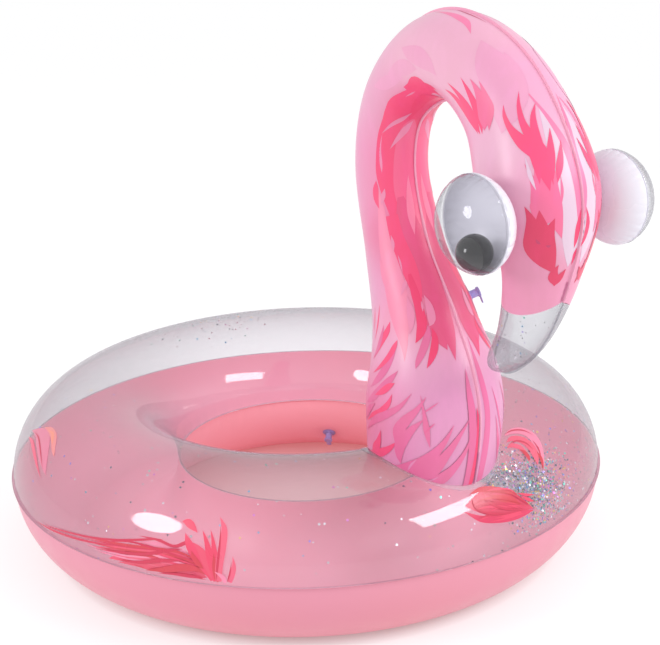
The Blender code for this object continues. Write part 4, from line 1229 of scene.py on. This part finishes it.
def tuft_strands():
    """Return the chest tuft's fine strands, curling from its left end to its right."""
    chance = random.Random(9)
    strands = []
    for i in range(14):
        share = i / 13
        rise = 21 + 19 * share
        ink = chance.choice(("ring_line", "ring_red", "deep", "leaf"))
        start = chance.uniform(-2.5, 1.5)
        strands.append((ink, (start, rise + 1, 0),
                        (start + 3.0, rise + chance.uniform(-1, 2), chance.uniform(0.8, 1.8)),
                        (start + 6.0, rise - 1 - 4 * share, chance.uniform(0.8, 1.8)),
                        (8.5 + chance.uniform(-1, 1.6), 19 + 6 * share, 0)))
    return tuple(strands)


class FLOAT_OT_ring_prints(Operator):
    """Print the wings and the chest tuft on the ring's clear film"""

    bl_idname = "swim_float.ring_prints"
    bl_label = "Ring feathers"

    def execute(self, context):
        ink = inked("wing_ink", "ink", 0.3, 0.25)
        groups = {"wing_feathers": WING_PRINT[:3] + wing_strands() + WING_PRINT[3:],
                  "tail_feathers": TAIL_PRINT,
                  "chest_feathers": TUFT_PRINT[:4] + tuft_strands() + TUFT_PRINT[4:]}
        for name, strokes in groups.items():
            bm = printed(strokes, on_ring, ring_crest_below, (1.5, 178.5), 0.0003)
            finish_piece(name, bm, ink)
        return {"FINISHED"}


# ---------------------------------------------------------------- eyes

def dome(flat_radius, gather_seed):
    """Return one dome along +Z, with gathers beside its seam and a fin round it."""
    sizes = bpy.context.scene.eye_sizes
    film = bpy.context.scene.ring_sizes.film
    seam = WELD_GAP / 2 + film
    outline = [(sizes.radius + sizes.fin, seam), (sizes.radius + sizes.fin * 0.4, seam)]
    for i in range(sizes.rows):
        angle = math.pi / 2 * (i + 0.4) / sizes.rows
        point = (sizes.radius * math.cos(angle), sizes.dome_depth * math.sin(angle))
        if point[0] > flat_radius:
            outline.append(point)
    flat = sizes.dome_depth * math.sqrt(1 - (flat_radius / sizes.radius) ** 2)
    if flat_radius > 0:
        outline += [(flat_radius, flat), (flat_radius / 2, flat)]
    outline.append((0.0, flat))
    bm = spun(outline, sizes.steps)
    for vert in bm.verts:
        radius = math.hypot(vert.co.x, vert.co.y)
        if radius > sizes.radius or vert.co.z < seam + 1e-5:
            continue
        turn = math.atan2(vert.co.y, vert.co.x)
        spacing = math.tau * sizes.radius / sizes.gathers
        rise, reach = vert.co.z - seam, 0.0095
        pull = tuck(turn * sizes.radius, rise, spacing, sizes.gather_depth, reach, gather_seed)
        blend = min((math.pi - abs(turn)) / 0.3, 1.0)
        swell = max(sizes.gather_depth * math.exp(-((rise / reach) ** 1.3)) - pull * blend, -0.0005)
        vert.co += vert.co.normalized() * swell * 0.55 * min(rise / 0.0018, 1.0)
    return bm


def eye_middle(side):
    """Return the middle of an eye's seam."""
    low, high = EYE_FRONT_LOW, EYE_FRONT_HIGH
    return Vector((side * (low.x - WELD_GAP / 2), (low.y + high.y) / 2, (low.z + high.z) / 2))


class FLOAT_OT_eyes(Operator):
    """Make both eyes: a white dome on the head and a clear dome outside"""

    bl_idname = "swim_float.eyes"
    bl_label = "Eyes"

    def execute(self, context):
        white, clear = eye_white(), clear_film("eye_clear_film", 0.006, 0.022, 1.005)
        film = context.scene.ring_sizes.film
        for word, side in (("right", -1), ("left", 1)):
            kinds = (("back", -side, context.scene.eye_sizes.weld_radius, white, "eye_white_film"),
                     ("front", side, 0.0, clear, "eye_clear_film"))
            for kind, outward, flat_radius, finish, slot in kinds:
                bm = dome(flat_radius, 20.0 + side + outward * 3)
                turn = Matrix.Rotation(outward * math.pi / 2, 4, "Y")
                bmesh.ops.transform(bm, matrix=Matrix.Translation(eye_middle(side)) @ turn, verts=bm.verts)
                face_outwards(bm, lambda middle: eye_middle(side))
                thicken(bm, film)
                finish_piece(f"{word}_eye_{kind}_film", bm, finish,
                             replaces=(f"{word}_eye_{kind}_dome",))
        return {"FINISHED"}


class FLOAT_OT_pupils(Operator):
    """Make the loose hollow balls in the eyes, each with its moulding vent"""

    bl_idname = "swim_float.pupils"
    bl_label = "Pupils"

    def execute(self, context):
        black = pupil_black()
        radius = (PUPIL_HIGH.z - PUPIL_LOW.z) / 2
        wall, vent = 0.0008, 0.0015
        outline = []
        for shell, order in ((radius, 1), (radius - wall, -1)):
            start = math.asin(vent / shell)
            arc = [start + (math.pi - start) * i / 40 for i in range(41)]
            outline += [(shell * math.sin(a) if a < math.pi else 0.0,
                         shell * math.cos(a)) for a in arc][::order]
        for word, side in (("right", -1), ("left", 1)):
            bm = spun(outline, 72, closed=True)
            bmesh.ops.recalc_face_normals(bm, faces=bm.faces)
            middle = (PUPIL_LOW + PUPIL_HIGH) / 2
            middle.x *= side
            bmesh.ops.translate(bm, vec=middle, verts=bm.verts)
            finish_piece(f"{word}_pupil_ball", bm, black, f"{word}_pupil", (f"{word}_pupil",))
        return {"FINISHED"}


# ---------------------------------------------------------------- valves

def valve_place(word):
    """Return a valve's frame: its origin on the film, +Z along its stem, +X as low as it can be."""
    joints = {joint["name"]: joint for joint in frame["joints"]}
    sizes = bpy.context.scene.valve_sizes
    normal = Vector(joints[f"{word}_valve_push"]["axis"]).normalized()
    hinge = joints[f"{word}_valve_flap_hinge"]
    across = Vector(hinge["axis"]).normalized()
    turn = Matrix((across.cross(normal), across, normal)).transposed()
    back = Vector((-sizes.flap_radius, 0.0, -sizes.inside - WELD_GAP - sizes.flap / 2))
    return Matrix.Translation(Vector(hinge["pos_m"]) - turn @ back) @ turn.to_4x4()


def valve_shapes():
    """Return each valve piece as (name, outline) ready to spin."""
    sizes = bpy.context.scene.valve_sizes
    hole = sizes.stem_radius + WELD_GAP
    low = WELD_GAP
    top = low + sizes.flange_thickness
    round_off = 0.0003
    flange = [(hole, low), (sizes.flange_radius, low), (sizes.flange_radius, top - round_off),
              (sizes.flange_radius - round_off, top), (sizes.flange_radius - 0.0012, top),
              (sizes.flange_radius - 0.0015, top + 0.00025), (sizes.flange_radius - 0.0018, top),
              (sizes.hub_radius + round_off, top), (sizes.hub_radius, top + round_off),
              (sizes.hub_radius, sizes.hub_height - round_off), (sizes.hub_radius - round_off,
                                                                 sizes.hub_height),
              (hole, sizes.hub_height)]
    under = sizes.outside - sizes.lip
    stem = [(sizes.bore, -sizes.inside), (sizes.stem_radius, -sizes.inside),
            (sizes.stem_radius, under - round_off),
            (sizes.stem_radius + round_off, under), (sizes.lip_radius - round_off, under),
            (sizes.lip_radius, under + round_off), (sizes.lip_radius, sizes.outside - round_off),
            (sizes.lip_radius - round_off, sizes.outside), (sizes.bore, sizes.outside)]
    plug = sizes.bore - WELD_GAP
    cap_low = sizes.outside + WELD_GAP
    cap_high = cap_low + sizes.cap
    stopper = [(0.0, sizes.outside - sizes.plug), (plug - round_off, sizes.outside - sizes.plug),
               (plug, sizes.outside - sizes.plug + round_off), (plug, cap_low), (sizes.lip_radius, cap_low),
               (sizes.lip_radius, cap_high - round_off), (sizes.lip_radius - round_off, cap_high),
               (plug, cap_high), (plug - round_off, cap_high - round_off), (0.0, cap_high - round_off)]
    flap_top = -sizes.inside - WELD_GAP
    flap = [(0.0, flap_top - sizes.flap), (sizes.flap_radius, flap_top - sizes.flap),
            (sizes.flap_radius, flap_top),
            (0.0, flap_top)]
    return {"flange": flange, "stem": stem, "stopper": stopper, "flap": flap}


def pull_tab(bm):
    """Add the stopper's rounded pull tab beside its cap."""
    sizes = bpy.context.scene.valve_sizes
    tab = bmesh.new()
    bmesh.ops.create_cube(tab, size=1.0)
    reach = sizes.tab_length + sizes.lip_radius / 2
    bmesh.ops.scale(tab, vec=(reach, sizes.tab_width, sizes.cap * 0.7), verts=tab.verts)
    middle = Vector((sizes.lip_radius / 2 + reach / 2, 0.0, sizes.outside + WELD_GAP + sizes.cap / 2))
    bmesh.ops.translate(tab, vec=middle, verts=tab.verts)
    end = [edge for edge in tab.edges
           if abs(edge.verts[0].co.z - edge.verts[1].co.z) > 1e-6 and edge.verts[0].co.x > middle.x]
    bmesh.ops.bevel(tab, geom=end, offset=sizes.tab_width * 0.4, segments=8, profile=0.5, affect="EDGES",
                    material=-1)
    rims = [edge for edge in tab.edges if edge.calc_face_angle(0.0) > 1.0]
    bmesh.ops.bevel(tab, geom=rims, offset=0.0002, segments=2, profile=0.5, affect="EDGES", material=-1)
    scrap = bpy.data.meshes.new("scrap")
    tab.to_mesh(scrap)
    tab.free()
    bm.from_mesh(scrap)
    bpy.data.meshes.remove(scrap)


class FLOAT_OT_valves(Operator):
    """Make both valves: flange, stem, flap and stopper"""

    bl_idname = "swim_float.valves"
    bl_label = "Valves"

    def execute(self, context):
        lilac = valve_lilac()
        for word in ("ring", "neck"):
            for kind, outline in valve_shapes().items():
                bm = spun(outline, context.scene.valve_sizes.steps, closed=True)
                bmesh.ops.recalc_face_normals(bm, faces=bm.faces)
                if kind == "stopper":
                    pull_tab(bm)
                bmesh.ops.transform(bm, matrix=valve_place(word), verts=bm.verts)
                body = "float" if kind == "flange" else f"{word}_valve_{kind}"
                finish_piece(f"{word}_valve_{kind}_moulding", bm, lilac, body,
                             (f"{word}_valve_{kind}",))
        return {"FINISHED"}


# ---------------------------------------------------------------- glitter

def flakes(places, chance, largest=1.0):
    """Return hexagonal flakes, each a thin tilted prism at its place, with its own tint."""
    sizes = bpy.context.scene.glitter_sizes
    bm = bmesh.new()
    bm.verts.layers.float_color.new("tint")
    for first in range(0, len(places), 80):
        part = bmesh.new()
        layer = part.verts.layers.float_color.new("tint")
        for point, normal, tilt in places[first:first + 80]:
            lean = Vector((chance.gauss(0, tilt), chance.gauss(0, tilt), chance.gauss(0, tilt)))
            turn = (normal + lean).to_track_quat("Z", "Y").to_matrix().to_4x4()
            radius = sizes.flake * chance.uniform(0.55, largest)
            made = bmesh.ops.create_cone(part, cap_ends=True, segments=6, radius1=radius, radius2=radius,
                                         depth=sizes.thickness, matrix=Matrix.Translation(point) @ turn)
            tint = flake_tint(chance)
            for vert in made["verts"]:
                vert[layer] = tint
        scrap = bpy.data.meshes.new("scrap")
        part.to_mesh(scrap)
        part.free()
        bm.from_mesh(scrap)
        bpy.data.meshes.remove(scrap)
    return bm


def flake_tint(chance):
    """Return a flake's colour: mostly silver, now and then mint, sky, lilac, gold or dark."""
    pick = chance.random()
    if pick < 0.45:
        grey = chance.uniform(0.70, 1.0)
        return linear((grey, grey * 0.98, grey))
    tints = ((0.35, 0.90, 0.78), (0.30, 0.72, 0.90), (0.60, 0.52, 0.98), (0.99, 0.80, 0.30),
             (0.30, 0.30, 0.36),
             (0.30, 0.42, 0.48), (0.90, 0.45, 0.85))
    return linear(chance.choice(tints))


def heap_floor(point):
    """Return the height of the ring's lower film under a point."""
    outward, inward, seam = ring_halves()
    offset = math.hypot(point.x - RING_CENTRE.x,
                        point.y - RING_CENTRE.y) - bpy.context.scene.ring_sizes.crest_radius
    share = min(abs(offset) / (outward if offset > 0 else inward), 1.0)
    rise = min(math.sqrt(1 - share * share) * 1.035, 1.0)
    return seam - seam * rise + bpy.context.scene.ring_sizes.film + WELD_GAP


class FLOAT_OT_glitter(Operator):
    """Make the heap of loose glitter and the flakes that cling to the films"""

    bl_idname = "swim_float.glitter"
    bl_label = "Glitter"

    def execute(self, context):
        sizes = context.scene.glitter_sizes
        chance = random.Random(11)
        silver = glitter_silver()
        middle = (HEAP_LOW + HEAP_HIGH) / 2
        reach = (HEAP_HIGH - HEAP_LOW) / 2
        bm = bmesh.new()
        bmesh.ops.create_grid(bm, x_segments=72, y_segments=60, size=1.0)
        for vert in bm.verts:
            x, y = vert.co.x, vert.co.y
            square = Vector((x * math.sqrt(1 - y * y / 2), y * math.sqrt(1 - x * x / 2), 0.0))
            point = Vector((middle.x + square.x * reach.x * 0.97, middle.y + square.y * reach.y * 0.97, 0.0))
            lump = 0.5 + 0.5 * noise.noise(point * 60)
            mound = max(1 - square.length_squared, 0.0) * (HEAP_HIGH.z - HEAP_LOW.z) * 0.8
            point.z = heap_floor(point) + mound * (0.7 + 0.3 * lump) + 0.0006
            vert.co = point
        face_outwards(bm, lambda place: place - Vector((0.0, 0.0, 1.0)))
        tops = [vert.co.copy() for vert in bm.verts]
        thicken(bm, 0.0005)
        finish_piece("glitter_mound", bm, glitter_bed(), replaces=("glitter_heap",))

        places = []
        for _ in range(sizes.heap_flakes):
            top = chance.choice(tops)
            if chance.random() < 0.55:
                spread = chance.uniform(1.0, 1.45)
                top = middle + (top - middle) * spread
                top.z = heap_floor(top)
            shift = Vector((chance.uniform(-0.002, 0.002), chance.uniform(-0.002, 0.002),
                            chance.uniform(0.0008, 0.0020)))
            places.append((top + shift, Vector((0, 0, 1)), 0.45))
        finish_piece("heap_flakes", flakes(places, chance), silver)

        places = []
        for _ in range(sizes.clinging_flakes):
            around = chance.uniform(-120, 100)
            degrees = chance.choice((1, 1, -1)) * chance.triangular(4, 176, 30)
            where = on_ring(around, degrees, -0.0012)
            normal = (where - ring_crest_below(where)).normalized()
            places.append((where, normal, 0.12))
        for _ in range(sizes.clinging_flakes // 3):
            where = on_ring(chance.gauss(172, 16), max(min(chance.gauss(62, 22), 120), 5), -0.0012)
            places.append((where, (where - ring_crest_below(where)).normalized(), 0.2))
        for _ in range(3 * sizes.clinging_flakes):
            around = chance.gauss(14.5, 4.2)
            degrees = max(min(chance.gauss(31, 13), 80), 6)
            where = on_ring(around, degrees, -0.0012 - chance.uniform(0, 0.004))
            places.append((where, (where - ring_crest_below(where)).normalized(), 0.5))
        for _ in range(sizes.clinging_flakes):
            around = chance.gauss(40, 22)
            degrees = chance.gauss(-20, 30)
            where = on_ring(around, max(min(degrees, 170), -170), -0.0012)
            places.append((where, (where - ring_crest_below(where)).normalized(), 0.12))
        finish_piece("clinging_flakes", flakes(places, chance, 1.35), silver)

        places = []
        for _ in range(sizes.beak_flakes):
            degrees = chance.uniform(10, 170)
            place = chance.uniform(beak_start(degrees) + 0.1, LAST_STATION - 0.25)
            side = chance.choice((1, -1))
            where = neck_surface(side)(place, degrees, -0.0025)
            places.append((where, (where - neck_point(place, 0.0, 0.0)).normalized(), 0.12))
        finish_piece("beak_flakes", flakes(places, chance), silver)
        return {"FINISHED"}


# ---------------------------------------------------------------- stage

def area_light(name, shape, heading, height, distance, size, power):
    """Hang a softbox that faces the ring, at degrees from the front and above the floor."""
    data = bpy.data.lights.new(name, "AREA")
    data.shape = shape
    data.size, data.size_y = size
    data.energy = power
    lamp = bpy.data.objects.new(name, data)
    turn, rise = math.radians(heading), math.radians(height)
    away = Vector((math.sin(turn) * math.cos(rise), -math.cos(turn) * math.cos(rise), math.sin(rise)))
    lamp.location = RING_CENTRE + Vector((0.0, 0.0, 0.2)) + away * distance
    lamp.rotation_euler = away.to_track_quat("Z", "Y").to_euler()
    bpy.context.scene.collection.objects.link(lamp)


class FLOAT_OT_stage(Operator):
    """Make the floor with its painted pink glow round the ring, the room's light, the softboxes and the
    camera
    """

    bl_idname = "swim_float.stage"
    bl_label = "Stage"

    def execute(self, context):
        scene = context.scene
        sizes = scene.stage_sizes
        made, tree = new_material("floor")
        cloud = grain(tree, 0.6)
        body = mixed(tree, cloud.outputs[0], linear(scene.float_colours.floor), linear((0.695, 0.695, 0.700)))
        where = node(tree, "TexCoord")
        away = node(tree, "VectorMath", {"operation": "DISTANCE"}, i0=where.outputs["Object"],
                    i1=(RING_CENTRE.x, RING_CENTRE.y, 0.0)).outputs["Value"]
        open_table = ranged(tree, away, 0.31, 0.40)
        # Painted light: in and round the hole the floor glows pink, standing in for light bounced off the
        # pink film.
        glow = mixed(tree, open_table, linear((0.93, 0.56, 0.57)), (1, 1, 1, 1))
        # Painted light: inside the hole the floor glows at most of the table's strength.
        under = ranged(tree, away, 0.29, 0.33, sizes.table * 0.8, 0.0)
        lit = node(tree, "Math", {"operation": "MULTIPLY_ADD"}, i0=open_table, i1=sizes.table,
                   i2=under).outputs[0]
        end_with(tree,
                 node(tree, "BsdfPrincipled", None, Base_Color=body, Roughness=0.9, Specular_IOR_Level=0.1,
                            Emission_Color=glow, Emission_Strength=lit).outputs[0])
        bm = bmesh.new()
        bmesh.ops.create_circle(bm, cap_ends=True, segments=96, radius=30.0)
        mesh = bpy.data.meshes.new("floor")
        bm.to_mesh(mesh)
        bm.free()
        mesh.materials.append(made)
        floor = bpy.data.objects.new("floor", mesh)
        floor.location.z = -0.0005
        scene.collection.objects.link(floor)

        world = bpy.data.worlds.new("room")
        world.use_nodes = True
        tree = world.node_tree
        tree.nodes.clear()
        up = node(tree, "SeparateXYZ", None, Vector=node(tree, "TexCoord").outputs["Generated"]).outputs["Z"]
        glow = ranged(tree, up, 0.25, 0.95, sizes.room, sizes.ceiling)
        sky = node(tree, "Background", None, Color=(1, 1, 1, 1), Strength=glow)
        node(tree, "OutputWorld", None, Surface=sky.outputs[0])
        scene.world = world
        scene.view_settings.view_transform = "Standard"

        area_light("softbox_left", "DISK", -89.0, 25.8, 2.6, (0.84, 0.84), sizes.softbox)
        area_light("softbox_right", "RECTANGLE", 27.0, 30.5, 2.6, (1.55, 0.58), sizes.softbox * 1.5)

        heading, height = math.radians(-32.0), math.radians(26.10)
        away = Vector((math.sin(heading) * math.cos(height), -math.cos(heading) * math.cos(height),
                       math.sin(height)))
        data = bpy.data.cameras.new("camera")
        data.lens = sizes.lens
        data.sensor_width = 36.0
        data.clip_start = 0.05
        camera = bpy.data.objects.new("camera", data)
        turn, pitch, roll = math.radians(-33.20), math.radians(18.16), math.radians(-1.39)
        back = Vector((math.sin(turn) * math.cos(pitch), -math.cos(turn) * math.cos(pitch), math.sin(pitch)))
        right = Vector((math.cos(turn), math.sin(turn), 0.0))
        up = back.cross(right)
        rolled_right = right * math.cos(roll) + up * math.sin(roll)
        rolled_up = up * math.cos(roll) - right * math.sin(roll)
        aim = Matrix((rolled_right, rolled_up, back)).transposed()
        camera.matrix_world = Matrix.Translation(RING_CENTRE + away * sizes.distance) @ aim.to_4x4()
        scene.collection.objects.link(camera)
        scene.camera = camera
        return {"FINISHED"}


# ---------------------------------------------------------------- panel and running

OPERATORS = (FLOAT_OT_ring, FLOAT_OT_ring_prints, FLOAT_OT_neck, FLOAT_OT_neck_prints, FLOAT_OT_beak,
             FLOAT_OT_eyes, FLOAT_OT_pupils, FLOAT_OT_valves, FLOAT_OT_glitter, FLOAT_OT_stage)


class FLOAT_PT_panel(Panel):
    """List the sizes, the colours and the pieces"""

    bl_idname = "FLOAT_PT_panel"
    bl_label = "Flamingo swim ring"
    bl_space_type = "VIEW_3D"
    bl_region_type = "UI"
    bl_category = "Swim Ring"

    def draw(self, context):
        for name, group in GROUPS.items():
            box = self.layout.box()
            box.label(text=group.__name__)
            for prop in group.__annotations__:
                box.prop(getattr(context.scene, name), prop)
        for operator in OPERATORS:
            self.layout.operator(operator.bl_idname)


def register():
    """Register the groups, the operators and the panel."""
    for name, group in GROUPS.items():
        bpy.utils.register_class(group)
        setattr(bpy.types.Scene, name, PointerProperty(type=group))
    for item in OPERATORS + (FLOAT_PT_panel,):
        bpy.utils.register_class(item)


def unregister():
    """Take everything out again."""
    for item in reversed(OPERATORS + (FLOAT_PT_panel,)):
        bpy.utils.unregister_class(item)
    for name, group in reversed(list(GROUPS.items())):
        delattr(bpy.types.Scene, name)
        bpy.utils.unregister_class(group)


def main():
    """Build everything in order."""
    register()
    for operator in OPERATORS:
        group, name = operator.bl_idname.split(".")
        getattr(getattr(bpy.ops, group), name)()


if __name__ == "__main__":
    main()
